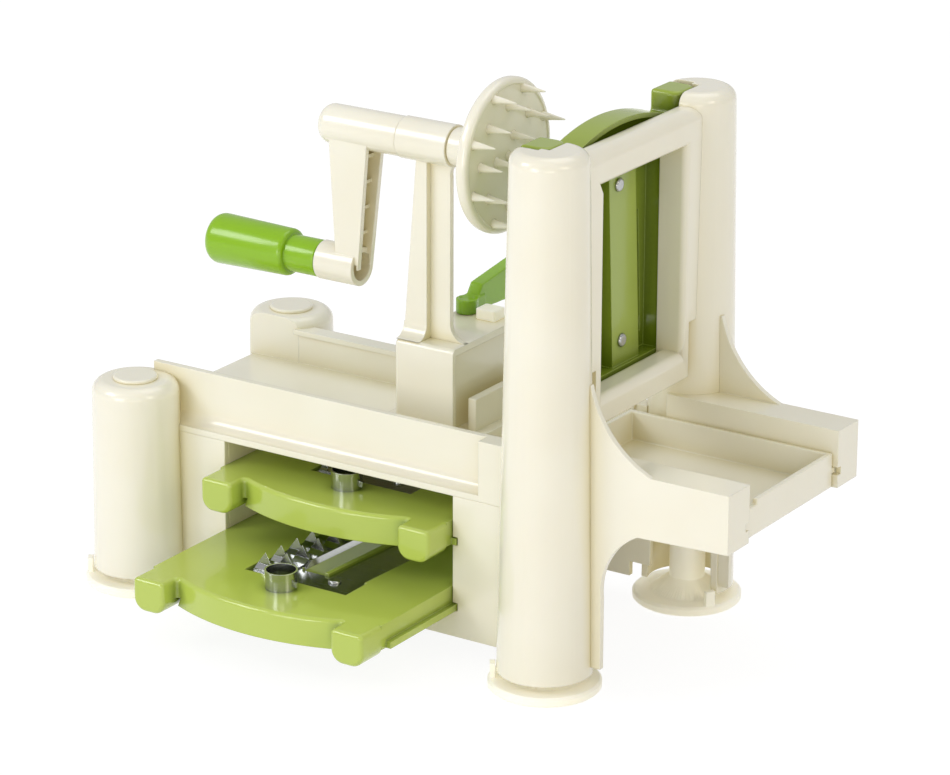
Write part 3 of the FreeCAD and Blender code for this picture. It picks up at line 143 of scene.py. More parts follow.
def empty_material(name: str) -> tuple[bpy.types.Material, bpy.types.NodeTree]:
    """Makes a material with no nodes in its tree.

    Args:
        name: the material's name.

    Returns:
        The material and its node tree.
    """
    material = bpy.data.materials.new(name)
    material.use_nodes = True
    material.node_tree.nodes.clear()
    return material, material.node_tree


@dataclass(frozen=True)
class MouldedPlastic:
    """An injection moulded plastic.

    The steel mould gives it an even gloss with a faint orange peel, slow flow marks
    in the colour, and a lighter colour along its rounded edges. Its recesses carry
    painted shade, a warmer and darker colour, and a weak painted glow.
    """

    name: str
    body_hex: str
    flow_hex: str
    painted_shade_and_glow_hex: str
    edge_hex: str
    roughness: float
    roughness_spread: float = 0.015
    gloss_coat: float = 0.45
    glow: float = 0.06
    painted_glow_strength: float = 0.05
    peel_mm: float = 2.6
    peel_depth_mm: float = 0.010
    grain_mm: float = 0.55
    grain_depth_mm: float = 0.004
    flow_mm: float = 42.0
    recess_reach_mm: float = 16.0
    painted_shade_share: float = 0.8
    edge_round_mm: float = 0.7
    edge_share: float = 0.35
    ior: float = 1.52
    open_share: float = 0.92
    deep_share: float = 0.25
    flat_turn: float = 0.995
    round_turn: float = 0.86
    rub_mm: float = 9.0
    coat_roughness: float = 0.05
    glow_mm: float = 2.5
    glow_spread: tuple[float, float, float] = (1.0, 0.8, 0.45)

    def build(self) -> bpy.types.Material:
        """Builds the material's nodes.

        Returns:
            The finished material.
        """
        material, tree = empty_material(self.name)
        place = add_node(tree, "ShaderNodeTexCoord").outputs["Object"]
        flow = add_node(
            tree, "ShaderNodeTexNoise",
            values={"Scale": 1.0 / (self.flow_mm * MM), "Detail": 2.0, "Roughness": 0.45},
            links={"Vector": place},
        )
        flow_share = add_node(
            tree, "ShaderNodeMapRange",
            values={"From Min": 0.35, "From Max": 0.65, "To Min": 0.0, "To Max": 1.0},
            links={"Value": flow.outputs["Fac"]},
        )
        body = add_node(
            tree, "ShaderNodeMix", settings={"data_type": "RGBA"},
            values={MIX_FROM: linear(self.body_hex), MIX_TO: linear(self.flow_hex)},
            links={0: flow_share.outputs["Result"]},
        )
        # Painted shade: a warmer, darker colour mixed in where ambient occlusion finds a recess
        hollow = add_node(
            tree, "ShaderNodeAmbientOcclusion", settings={"samples": PROBE_SAMPLES},
            values={"Distance": self.recess_reach_mm * MM},
        )
        painted_shade_share = add_node(
            tree, "ShaderNodeMapRange",
            values={
                "From Min": self.open_share, "From Max": self.deep_share,
                "To Min": 0.0, "To Max": self.painted_shade_share,
            },
            links={"Value": hollow.outputs["AO"]},
        )
        with_painted_shade = add_node(
            tree, "ShaderNodeMix", settings={"data_type": "RGBA"},
            values={MIX_TO: linear(self.painted_shade_and_glow_hex)},
            links={0: painted_shade_share.outputs["Result"], MIX_FROM: body.outputs[MIX_RESULT]},
        )
        rounded = add_node(
            tree, "ShaderNodeBevel", settings={"samples": PROBE_SAMPLES},
            values={"Radius": self.edge_round_mm * MM},
        )
        flat = add_node(tree, "ShaderNodeNewGeometry")
        turn = add_node(
            tree, "ShaderNodeVectorMath", settings={"operation": "DOT_PRODUCT"},
            links={0: rounded.outputs["Normal"], 1: flat.outputs["Normal"]},
        )
        edge_share = add_node(
            tree, "ShaderNodeMapRange",
            values={
                "From Min": self.flat_turn, "From Max": self.round_turn,
                "To Min": 0.0, "To Max": self.edge_share,
            },
            links={"Value": turn.outputs["Value"]},
        )
        colour = add_node(
            tree, "ShaderNodeMix", settings={"data_type": "RGBA"},
            values={MIX_TO: linear(self.edge_hex)},
            links={0: edge_share.outputs["Result"], MIX_FROM: with_painted_shade.outputs[MIX_RESULT]},
        )
        peel = add_node(
            tree, "ShaderNodeTexNoise",
            values={"Scale": 1.0 / (self.peel_mm * MM), "Detail": 1.0, "Roughness": 0.4},
            links={"Vector": place},
        )
        grain = add_node(
            tree, "ShaderNodeTexNoise",
            values={"Scale": 1.0 / (self.grain_mm * MM), "Detail": 2.0, "Roughness": 0.5},
            links={"Vector": place},
        )
        peel_bump = add_node(
            tree, "ShaderNodeBump",
            values={"Strength": 1.0, "Distance": self.peel_depth_mm * MM},
            links={"Height": peel.outputs["Fac"], "Normal": rounded.outputs["Normal"]},
        )
        grain_bump = add_node(
            tree, "ShaderNodeBump",
            values={"Strength": 0.6, "Distance": self.grain_depth_mm * MM},
            links={"Height": grain.outputs["Fac"], "Normal": peel_bump.outputs["Normal"]},
        )
        rub = add_node(
            tree, "ShaderNodeTexNoise",
            values={"Scale": 1.0 / (self.rub_mm * MM), "Detail": 4.0, "Roughness": 0.6},
            links={"Vector": place},
        )
        roughness = add_node(
            tree, "ShaderNodeMapRange",
            values={
                "From Min": 0.3, "From Max": 0.7,
                "To Min": self.roughness - self.roughness_spread,
                "To Max": self.roughness + self.roughness_spread,
            },
            links={"Value": rub.outputs["Fac"]},
        )
        # A weak emission, a painted glow, stands in for light that has crossed thin walls.
        # It is strongest in the recesses.
        painted_glow_ramp = add_node(
            tree, "ShaderNodeMapRange",
            values={
                "From Min": self.open_share, "From Max": self.deep_share,
                "To Min": self.painted_glow_strength / 2, "To Max": self.painted_glow_strength,
            },
            links={"Value": hollow.outputs["AO"]},
        )
        shader = add_node(
            tree, "ShaderNodeBsdfPrincipled",
            values={
                "IOR": self.ior,
                "Coat Weight": self.gloss_coat,
                "Coat Roughness": self.coat_roughness,
                "Subsurface Weight": self.glow,
                "Subsurface Radius": self.glow_spread,
                "Subsurface Scale": self.glow_mm * MM,
                "Emission Color": linear(self.painted_shade_and_glow_hex),
            },
            links={
                "Base Color": colour.outputs[MIX_RESULT],
                "Roughness": roughness.outputs["Result"],
                "Normal": grain_bump.outputs["Normal"],
                "Emission Strength": painted_glow_ramp.outputs["Result"],
            },
        )
        add_node(tree, "ShaderNodeOutputMaterial", links={"Surface": shader.outputs["BSDF"]})
        return material


@dataclass(frozen=True)
class RolledSteel:
    """Stainless strip, cold rolled and then ground.

    Rolling leaves fine streaks along the strip, and grinding leaves it bright with
    a soft spread in the gloss.
    """

    name: str
    body_hex: str
    streak_hex: str
    roughness: float
    streak_mm: float = 0.35
    streak_length_mm: float = 14.0
    streak_depth_mm: float = 0.002
    edge_round_mm: float = 0.12
    brighter_by: float = 0.06
    duller_by: float = 0.08
    anisotropy: float = 0.35

    def build(self) -> bpy.types.Material:
        """Builds the material's nodes.

        Returns:
            The finished material.
        """
        material, tree = empty_material(self.name)
        place = add_node(tree, "ShaderNodeTexCoord").outputs["Object"]
        along = 1.0 / (self.streak_length_mm * MM)
        across = 1.0 / (self.streak_mm * MM)
        stretched = add_node(
            tree, "ShaderNodeMapping", values={"Scale": (along, across, across)},
            links={"Vector": place},
        )
        streaks = add_node(
            tree, "ShaderNodeTexNoise",
            values={"Scale": 1.0, "Detail": 3.0, "Roughness": 0.6},
            links={"Vector": stretched.outputs["Vector"]},
        )
        share = add_node(
            tree, "ShaderNodeMapRange",
            values={"From Min": 0.35, "From Max": 0.7, "To Min": 0.0, "To Max": 1.0},
            links={"Value": streaks.outputs["Fac"]},
        )
        colour = add_node(
            tree, "ShaderNodeMix", settings={"data_type": "RGBA"},
            values={MIX_FROM: linear(self.body_hex), MIX_TO: linear(self.streak_hex)},
            links={0: share.outputs["Result"]},
        )
        roughness = add_node(
            tree, "ShaderNodeMapRange",
            values={
                "From Min": 0.3, "From Max": 0.7,
                "To Min": self.roughness - self.brighter_by,
                "To Max": self.roughness + self.duller_by,
            },
            links={"Value": streaks.outputs["Fac"]},
        )
        rounded = add_node(
            tree, "ShaderNodeBevel", settings={"samples": PROBE_SAMPLES},
            values={"Radius": self.edge_round_mm * MM},
        )
        bump = add_node(
            tree, "ShaderNodeBump",
            values={"Strength": 0.7, "Distance": self.streak_depth_mm * MM},
            links={"Height": streaks.outputs["Fac"], "Normal": rounded.outputs["Normal"]},
        )
        shader = add_node(
            tree, "ShaderNodeBsdfPrincipled",
            values={"Metallic": 1.0, "Anisotropic": self.anisotropy},
            links={
                "Base Color": colour.outputs[MIX_RESULT],
                "Roughness": roughness.outputs["Result"],
                "Normal": bump.outputs["Normal"],
            },
        )
        add_node(tree, "ShaderNodeOutputMaterial", links={"Surface": shader.outputs["BSDF"]})
        return material


class Palette:
    """The slicer's finishes, one material for each slot."""

    def __init__(self) -> None:
        """Builds every material once."""
        finishes = {
            # ABS moulded in a polished tool: a wet looking gloss and a creamy depth
            Slot.IVORY: MouldedPlastic(
                "ivory_abs_moulded", "#F0EDDF", "#EEEADA", "#D4C68C", "#F8F6EC", 0.22,
                painted_shade_share=0.62, recess_reach_mm=13.0,
            ),
            # Soft thermoplastic rubber from a fine blasted tool: whiter and more matt
            # Its stronger painted glow lifts the feet, the stop and the bushes out of their shade
            Slot.FOOT: MouldedPlastic(
                "white_soft_plastic_moulded", "#FAF8EE", "#F8F6EA", "#EDE7CE", "#FBFBF6", 0.38,
                gloss_coat=0.10, glow=0.12, painted_glow_strength=0.26, painted_shade_share=0.20,
                peel_mm=1.4, grain_mm=0.4, grain_depth_mm=0.008,
            ),
            # ABS coloured through: the same gloss, with painted shade deepening the green in its recesses
            Slot.LEAF: MouldedPlastic(
                "leaf_green_abs_moulded", "#B6C85A", "#B3C555", "#465808", "#C6D678", 0.20,
                glow=0.05, painted_glow_strength=0.16, painted_shade_share=0.84, recess_reach_mm=7.0,
            ),
            # ABS with more pigment, satin from the hand
            Slot.GRIP: MouldedPlastic(
                "deep_green_abs_moulded", "#8CBC08", "#89B906", "#467004", "#A8D24A", 0.24,
                gloss_coat=0.25, glow=0.05,
            ),
            # Rolled stainless: bright, with streaks along the strip
            Slot.STEEL: RolledSteel("stainless_steel_rolled", "#C2C4C3", "#AFB1B1", 0.20),
        }
        self.materials: dict[Slot, bpy.types.Material] = {
            slot: finish.build() for slot, finish in finishes.items()
        }
        # A copy of the same green ABS with the window's shade painted in: a darker green
        # and more of the weak emission, a stronger painted glow
        self.painted_shade_leaf = MouldedPlastic(
            "leaf_green_abs_painted_shade", "#98AB3C", "#95A838", "#323F02", "#B4C560", 0.20,
            gloss_coat=0.3, glow=0.03, painted_glow_strength=0.5, painted_shade_share=0.96, recess_reach_mm=20.0,
        ).build()

    def dress(self, piece: bpy.types.Object, slot: Slot) -> None:
        """Gives a piece the material of its slot.

        Args:
            piece: the piece.
            slot: its finish.
        """
        piece.data.materials.clear()
        piece.data.materials.append(self.materials[slot])

    def shade(self, piece: bpy.types.Object) -> None:
        """Gives a dressed leaf green piece the copy with the window's shade painted in."""
        piece.data.materials[0] = self.painted_shade_leaf

    def dress_node(self, node: str, slot: Slot) -> None:
        """Gives a carried-over CAD node the material of its slot.

        Args:
            node: the CAD node's name.
            slot: its finish.
        """
        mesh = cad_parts[node].data
        if not mesh.materials:
            mesh.materials.append(self.materials[slot])
        for index in range(len(mesh.materials)):
            mesh.materials[index] = self.materials[slot]


def link_piece(name: str, form: bmesh.types.BMesh) -> bpy.types.Object:
    """Turns a finished bmesh into an object at the origin.

    Args:
        name: the object's and mesh's name.
        form: the bmesh, which is freed.

    Returns:
        The new object.
    """
    mesh = bpy.data.meshes.new(name)
    form.to_mesh(mesh)
    form.free()
    piece = bpy.data.objects.new(name, mesh)
    bpy.context.scene.collection.objects.link(piece)
    return piece


def smooth_by_angle(piece: bpy.types.Object, degrees: float) -> None:
    """Shades a piece smooth apart from the edges sharper than an angle."""
    piece.data.shade_smooth()
    piece.data.set_sharp_from_angle(angle=math.radians(degrees))


def soften_edges(piece: bpy.types.Object, radius_mm: float) -> None:
    """Gives a piece's sharp edges the small radius of a mould and evens its normals.

    Args:
        piece: the piece.
        radius_mm: the radius.
    """
    bevel = piece.modifiers.new("mould_radius", "BEVEL")
    bevel.width = radius_mm * MM
    bevel.segments = 2
    bevel.limit_method = "ANGLE"
    bevel.angle_limit = math.radians(MOULD_EDGE_DEGREES)
    bevel.harden_normals = False
    weighted = piece.modifiers.new("even_normals", "WEIGHTED_NORMAL")
    weighted.mode = "FACE_AREA"
    weighted.weight = 50
    weighted.keep_sharp = True


@dataclass(frozen=True)
class NodeShell:
    """A piece whose form is a CAD node's, with merged faces and softened edges."""

    node: str
    body: Body
    slot: Slot
    edge_mm: float
    smooth_degrees: float = 32.0
    join_flat: bool = True

    def build(self, palette: Palette) -> bpy.types.Object:
        """Builds the piece and hides the node that it stands for.

        Args:
            palette: the finishes.

        Returns:
            The new piece.
        """
        return self.finish(merged_node(self.node, self.join_flat), palette)

    def finish(self, form: bmesh.types.BMesh, palette: Palette) -> bpy.types.Object:
        """Finishes a form as this node's piece.

        Args:
            form: the piece's bmesh, which is freed.
            palette: the finishes.

        Returns:
            The new piece.
        """
        piece = link_piece(f"{self.node}_skin", form)
        smooth_by_angle(piece, self.smooth_degrees)
        soften_edges(piece, self.edge_mm)
        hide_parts(self.node)
        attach(piece, self.body.value)
        palette.dress(piece, self.slot)
        return piece


@dataclass(frozen=True)
class TurnedForm:
    """A form of revolution about X, from its half outline of (along, radius) in mm."""

    outline_mm: Sequence[tuple[float, float]]
    rounds_mm: Mapping[int, float] = field(default_factory=dict)
    steps: int = 72

    def spin(self) -> bmesh.types.BMesh:
        """Spins the outline and rounds its corners.

        Returns:
            A closed bmesh in metres, about the X axis.
        """
        form = bmesh.new()
        points = [form.verts.new((along * MM, radius * MM, 0.0)) for along, radius in self.outline_mm]
        edges = [form.edges.new(pair) for pair in zip(points, points[1:])]
        bmesh.ops.spin(
            form, geom=points + edges, cent=(0.0, 0.0, 0.0), axis=(1.0, 0.0, 0.0),
            dvec=(0.0, 0.0, 0.0), angle=math.tau, steps=self.steps, use_merge=True,
            use_normal_flip=False, use_duplicate=False,
        )
        bmesh.ops.remove_doubles(form, verts=form.verts, dist=SEAM_MM * MM)
        bmesh.ops.recalc_face_normals(form, faces=form.faces)
        for corner, radius_mm in self.rounds_mm.items():
            self.round_corner(form, corner, radius_mm)
        return form

    def round_corner(self, form: bmesh.types.BMesh, corner: int, radius_mm: float) -> None:
        """Rounds the ring of edges that one corner of the outline makes.

        Args:
            form: the turned bmesh.
            corner: the corner's number in the outline.
            radius_mm: the rounding's radius.
        """
        along, radius = self.outline_mm[corner]
        ring = [
            edge for edge in form.edges
            if all(
                abs(v.co.x - along * MM) < SAME_PLACE_M
                and abs(math.hypot(v.co.y, v.co.z) - radius * MM) < SAME_PLACE_M
                for v in edge.verts
            )
        ]
        bmesh.ops.bevel(
            form, geom=ring, offset=radius_mm * MM, offset_type="OFFSET", segments=6,
            profile=0.5, affect="EDGES", clamp_overlap=True, material=-1,
        )


def merged_node(node: str, join_flat: bool = True) -> bmesh.types.BMesh:
    """Copies a CAD node's mesh, merges its loose triangles and joins its flat faces.

    Args:
        node: the CAD node's name.
        join_flat: whether the triangles of a flat face are joined into one face.

    Returns:
        A closed bmesh in the row frame.
    """
    form = bmesh.new()
    form.from_mesh(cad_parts[node].data)
    bmesh.ops.remove_doubles(form, verts=form.verts, dist=MERGE_MM * MM)
    if join_flat:
        bmesh.ops.dissolve_limit(
            form, angle_limit=math.radians(FLAT_DEGREES), use_dissolve_boundaries=False,
            verts=form.verts, edges=form.edges, delimit={"NORMAL"},
        )
    return form


def round_edges(
    form: bmesh.types.BMesh,
    radius_mm: float,
    chosen: Callable[[Vector, Vector], bool],
    sharper_than: float = 35.0,
) -> None:
    """Rounds the sharp edges whose two ends are chosen.

    Args:
        form: the bmesh to change.
        radius_mm: the width of the rounding on each face.
        chosen: says from an edge's two ends whether it is rounded.
        sharper_than: the least angle between its faces, in degrees.
    """
    edges = [
        edge for edge in form.edges
        if len(edge.link_faces) == 2
        and edge.calc_face_angle(0.0) > math.radians(sharper_than)
        and chosen(edge.verts[0].co, edge.verts[1].co)
    ]
    bmesh.ops.bevel(
        form, geom=edges, offset=radius_mm * MM, offset_type="OFFSET", segments=5,
        profile=0.5, affect="EDGES", clamp_overlap=False, material=-1,
    )


def join_form(target: bmesh.types.BMesh, form: bmesh.types.BMesh, place: Matrix) -> None:
    """Adds one bmesh to another at a place, and frees it.

    Args:
        target: the bmesh that grows.
        form: the bmesh that is added.
        place: where it goes.
    """
    bmesh.ops.transform(form, matrix=place, verts=form.verts)
    carrier = bpy.data.meshes.new("carrier")
    form.to_mesh(carrier)
    form.free()
    target.from_mesh(carrier)
    bpy.data.meshes.remove(carrier)


def report(piece: bpy.types.Object) -> None:
    """Reports a finished piece and its number of faces."""
    LOG.info("%s: %d faces", piece.name, len(piece.data.polygons))


def build_shells(shells: Sequence[NodeShell], palette: Palette) -> None:
    """Builds a list of node shells and reports each."""
    for shell in shells:
        report(shell.build(palette))


@dataclass
class Housing:
    """The base shell: walls, deck, posts, window frame, slot guides and arms."""

    edge_mm: float = 0.7
    thin_edge_mm: float = 0.35
    plug_edge_mm: float = 0.25
    window_half_mm: float = 35.0
    sill_mm: float = 9.0
    bar_mm: float = 13.0
    mouth_round_mm: float = 3.2
    heavy_nodes: tuple[str, ...] = (
        "near_short_post", "far_short_post", "near_tall_post", "far_tall_post",
        "near_arm", "far_arm",
    )
    light_nodes: tuple[str, ...] = (
        "near_side_wall", "far_side_wall", "end_wall", "deck", "left_slot_guide", "right_slot_guide",
    )

    def build(self, palette: Palette) -> None:
        """Builds the shells and the plugs in the caps.

        Args:
            palette: the finishes.
        """
        heavy = [NodeShell(node, Body.BASE, Slot.IVORY, self.edge_mm) for node in self.heavy_nodes]
        light = [NodeShell(node, Body.BASE, Slot.IVORY, self.thin_edge_mm) for node in self.light_nodes]
        build_shells(heavy + light, palette)
        build_shells([NodeShell("post_plugs", Body.BASE, Slot.IVORY, self.plug_edge_mm)], palette)
        report(self.build_window(palette))

    def build_window(self, palette: Palette) -> bpy.types.Object:
        """Builds the window frame, with a broad rounding round the window's mouth.

        Args:
            palette: the finishes.

        Returns:
            The window frame's piece.
        """
        low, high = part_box("window_frame")
        half = self.window_half_mm * MM
        middle = (low.y + high.y) / 2

        def at_mouth(a: Vector, b: Vector) -> bool:
            """Says whether an edge lies on the front face, round the opening."""
            return all(
                co.x > high.x - ON_FACE_MM * MM and abs(co.y - middle) < half
                and low.z + self.sill_mm * MM < co.z < high.z - self.bar_mm * MM
                for co in (a, b)
            )

        form = merged_node("window_frame")
        round_edges(form, self.mouth_round_mm, at_mouth)
        shell = NodeShell("window_frame", Body.BASE, Slot.IVORY, self.edge_mm)
        return shell.finish(form, palette)


@dataclass
class SuctionFeet:
    """Four soft feet with a release tab, and the nuts that hold them."""

    edge_mm: float = 0.4
    nodes: tuple[str, ...] = ("foot_near_short", "foot_far_short", "foot_near_tall", "foot_far_tall")

    def build(self, palette: Palette) -> None:
        """Builds the feet and dresses the hidden nuts."""
        build_shells([NodeShell(node, Body.BASE, Slot.FOOT, self.edge_mm) for node in self.nodes], palette)
        palette.dress_node("foot_nuts", Slot.STEEL)


@dataclass
class CatchTray:
    """The tray between the arms."""

    edge_mm: float = 0.5

    def build(self, palette: Palette) -> None:
        """Builds the tray."""
        build_shells([NodeShell("catch_tray", Body.TRAY, Slot.IVORY, self.edge_mm)], palette)


@dataclass
class Carriage:
    """The sliding carriage: base plate, block, column and stop."""

    base_edge_mm: float = 0.3
    block_edge_mm: float = 0.6
    column_edge_mm: float = 0.5
    stop_edge_mm: float = 0.5

    def build(self, palette: Palette) -> None:
        """Builds the carriage's pieces and dresses those inside it.

        Args:
            palette: the finishes.
        """
        build_shells(
            [
                # Its triangles stay, because joined flat faces show a dark triangle
                NodeShell(
                    "slider_base", Body.CARRIAGE, Slot.IVORY, self.base_edge_mm, join_flat=False,
                ),
                NodeShell("slider_block", Body.CARRIAGE, Slot.IVORY, self.block_edge_mm),
                NodeShell("crank_column", Body.CARRIAGE, Slot.IVORY, self.column_edge_mm),
                NodeShell("lever_stop", Body.CARRIAGE, Slot.FOOT, self.stop_edge_mm),
            ],
            palette,
        )
        palette.dress_node("shaft_bushes", Slot.FOOT)
        palette.dress_node("lever_pin", Slot.STEEL)


@dataclass(frozen=True)
class TineRing:
    """A ring of tines on the prong wheel."""

    radius_mm: float
    count: int
    turn_degrees: float


@dataclass
class Crank:
    """The crank arm, its shaft and the prong wheel with its tines."""

    arm_edge_mm: float = 0.5
    neck_edge_mm: float = 0.3
    disc_t_mm: float = 6.2
    bore_depth_mm: float = 3.1
    bore_r_mm: float = 4.02
    back_round_mm: float = 2.7
    front_round_mm: float = 2.2
    dish_r_mm: float = 30.9
    dish_depth_mm: float = 0.5
    dish_slope_mm: float = 0.6
    tine_r_mm: float = 1.9
    tine_foot_mm: float = 2.4
    tine_flare_mm: float = 0.9
    tine_l_mm: float = 11.0
    tine_tip_mm: float = 0.3
    tine_point_mm: float = 0.35
    tine_root_mm: float = 0.5
    tine_sink_mm: float = 0.05
    spike_l_mm: float = 9.0
    rings: tuple[TineRing, ...] = (
        TineRing(29.8, 8, 22.5), TineRing(22.0, 8, 0.0), TineRing(9.2, 3, 65.0),
    )

    def build(self, palette: Palette) -> None:
        """Builds the arm, the wheel and the tines, and dresses the shaft and pin.

        Args:
            palette: the finishes.
        """
        build_shells(
            [
                NodeShell("crank_arm", Body.CRANK, Slot.IVORY, self.arm_edge_mm),
                NodeShell("wheel_neck", Body.CRANK, Slot.IVORY, self.neck_edge_mm),
            ],
            palette,
        )
        report(self.build_disc(palette))
        report(self.build_tines(palette))
        palette.dress_node("crank_shaft", Slot.STEEL)
        palette.dress_node("grip_pin", Slot.STEEL)

    def wheel_place(self) -> Matrix:
        """The wheel's back face centre, which its forms are turned about."""
        low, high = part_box("prong_wheel")
        return Matrix.Translation((low.x, (low.y + high.y) / 2, (low.z + high.z) / 2))

    def build_disc(self, palette: Palette) -> bpy.types.Object:
        """Turns the wheel's disc, with a rolled rim and a shallow dish.

        Args:
            palette: the finishes.

        Returns:
            The disc.
        """
        low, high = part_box("prong_wheel")
        rim = (high.z - low.z) / 2 / MM
        thick = self.disc_t_mm
        dished = thick - self.dish_depth_mm
        form = TurnedForm(
            (
                (self.bore_depth_mm, 0.0), (self.bore_depth_mm, self.bore_r_mm), (0.0, self.bore_r_mm),
                (0.0, rim), (thick, rim), (thick, self.dish_r_mm + self.dish_slope_mm),
                (dished, self.dish_r_mm), (dished, 0.0),
            ),
            {3: self.back_round_mm, 4: self.front_round_mm},
            steps=120,
        ).spin()
        bmesh.ops.transform(form, matrix=self.wheel_place(), verts=form.verts)
        disc = link_piece("prong_wheel_disc", form)
        smooth_by_angle(disc, TURNED_SMOOTH_DEGREES)
        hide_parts("prong_wheel")
        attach(disc, Body.CRANK.value)
        palette.dress(disc, Slot.IVORY)
        return disc

    def build_tines(self, palette: Palette) -> bpy.types.Object:
        """Turns each tine with a flared foot and sets it in its ring.

        Args:
            palette: the finishes.

        Returns:
            The tines, as one piece.
        """
        foot = self.disc_t_mm - self.dish_depth_mm - self.tine_sink_mm
        tines = bmesh.new()
        centre = self.wheel_place()
        for ring in self.rings:
            for index in range(ring.count):
                angle = math.radians(ring.turn_degrees + 360.0 * index / ring.count)
                across = ring.radius_mm * math.cos(angle)
                upward = ring.radius_mm * math.sin(angle)
                shift = Vector((foot, across, upward)) * MM
                tine = self.tine(self.tine_l_mm + self.tine_root_mm)
                join_form(tines, tine, centre @ Matrix.Translation(shift))
        spike = self.tine(self.spike_l_mm + self.tine_root_mm)
        join_form(tines, spike, centre @ Matrix.Translation((foot * MM, 0.0, 0.0)))
        piece = link_piece("wheel_tines_set", tines)
        smooth_by_angle(piece, SMALL_SMOOTH_DEGREES)
        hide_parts("wheel_tines")
        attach(piece, Body.CRANK.value)
        palette.dress(piece, Slot.IVORY)
        return piece

    def tine(self, length_mm: float) -> bmesh.types.BMesh:
        """Turns one tine of a length, pointing along X."""
        return TurnedForm(
            (
                (0.0, 0.0), (0.0, self.tine_foot_mm), (self.tine_flare_mm, self.tine_r_mm),
                (length_mm - self.tine_point_mm, self.tine_tip_mm), (length_mm, 0.0),
            ),
            steps=20,
        ).spin()


@dataclass
class HandGrip:
    """The turning hand grip with its collar."""

    end_round_mm: float = 5.0
    shoulder_round_mm: float = 2.2
    collar_round_mm: float = 0.8
    collar_r_mm: float = 8.4
    shoulder_r_mm: float = 10.7
    shoulder_at_mm: float = 43.4
    bore_r_mm: float = 3.55
    pocket_r_mm: float = 5.8
    pocket_at_mm: float = 8.7
    pocket_end_mm: float = 11.5

    def build(self, palette: Palette) -> bpy.types.Object:
        """Turns the grip where the CAD grip is.

        Args:
            palette: the finishes.

        Returns:
            The grip.
        """
        low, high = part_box("hand_grip")
        length = (high.x - low.x) / MM
        end_r = (high.z - low.z) / 2 / MM
        form = TurnedForm(
            (
                (0.0, 0.0), (0.0, end_r), (self.shoulder_at_mm, self.shoulder_r_mm),
                (self.shoulder_at_mm, self.collar_r_mm), (length, self.collar_r_mm),
                (length, self.bore_r_mm), (self.pocket_end_mm, self.bore_r_mm),
                (self.pocket_end_mm, self.pocket_r_mm), (self.pocket_at_mm, self.pocket_r_mm),
                (self.pocket_at_mm, 0.0),
            ),
            {1: self.end_round_mm, 2: self.shoulder_round_mm, 4: self.collar_round_mm},
            steps=96,
        ).spin()
        place = Matrix.Translation((low.x, (low.y + high.y) / 2, (low.z + high.z) / 2))
        bmesh.ops.transform(form, matrix=place, verts=form.verts)
        grip = link_piece("hand_grip_turned", form)
        smooth_by_angle(grip, TURNED_SMOOTH_DEGREES)
        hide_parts("hand_grip")
        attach(grip, Body.GRIP.value)
        palette.dress(grip, Slot.GRIP)
        return grip


@dataclass
class PushLever:
    """The push lever, with fillets where its paddle grows out of its pad."""

    voxel_mm: float = 0.3
    smoothing_rounds: int = 9

    def build(self, palette: Palette) -> bpy.types.Object:
        """Remeshes the lever's solid and smooths it, which fills its inner corners.

        Args:
            palette: the finishes.

        Returns:
            The lever.
        """
        form = bmesh.new()
        form.from_mesh(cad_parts["push_lever"].data)
        bmesh.ops.remove_doubles(form, verts=form.verts, dist=MERGE_MM * MM)
        lever = link_piece("push_lever_skin", form)
        remesh = lever.modifiers.new("even_skin", "REMESH")
        remesh.mode = "VOXEL"
        remesh.voxel_size = self.voxel_mm * MM
        remesh.use_smooth_shade = True
        relax = lever.modifiers.new("mould_fillets", "SMOOTH")
        relax.factor = 0.5
        relax.iterations = self.smoothing_rounds
        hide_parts("push_lever")
        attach(lever, Body.LEVER.value)
        palette.dress(lever, Slot.GRIP)
        return lever


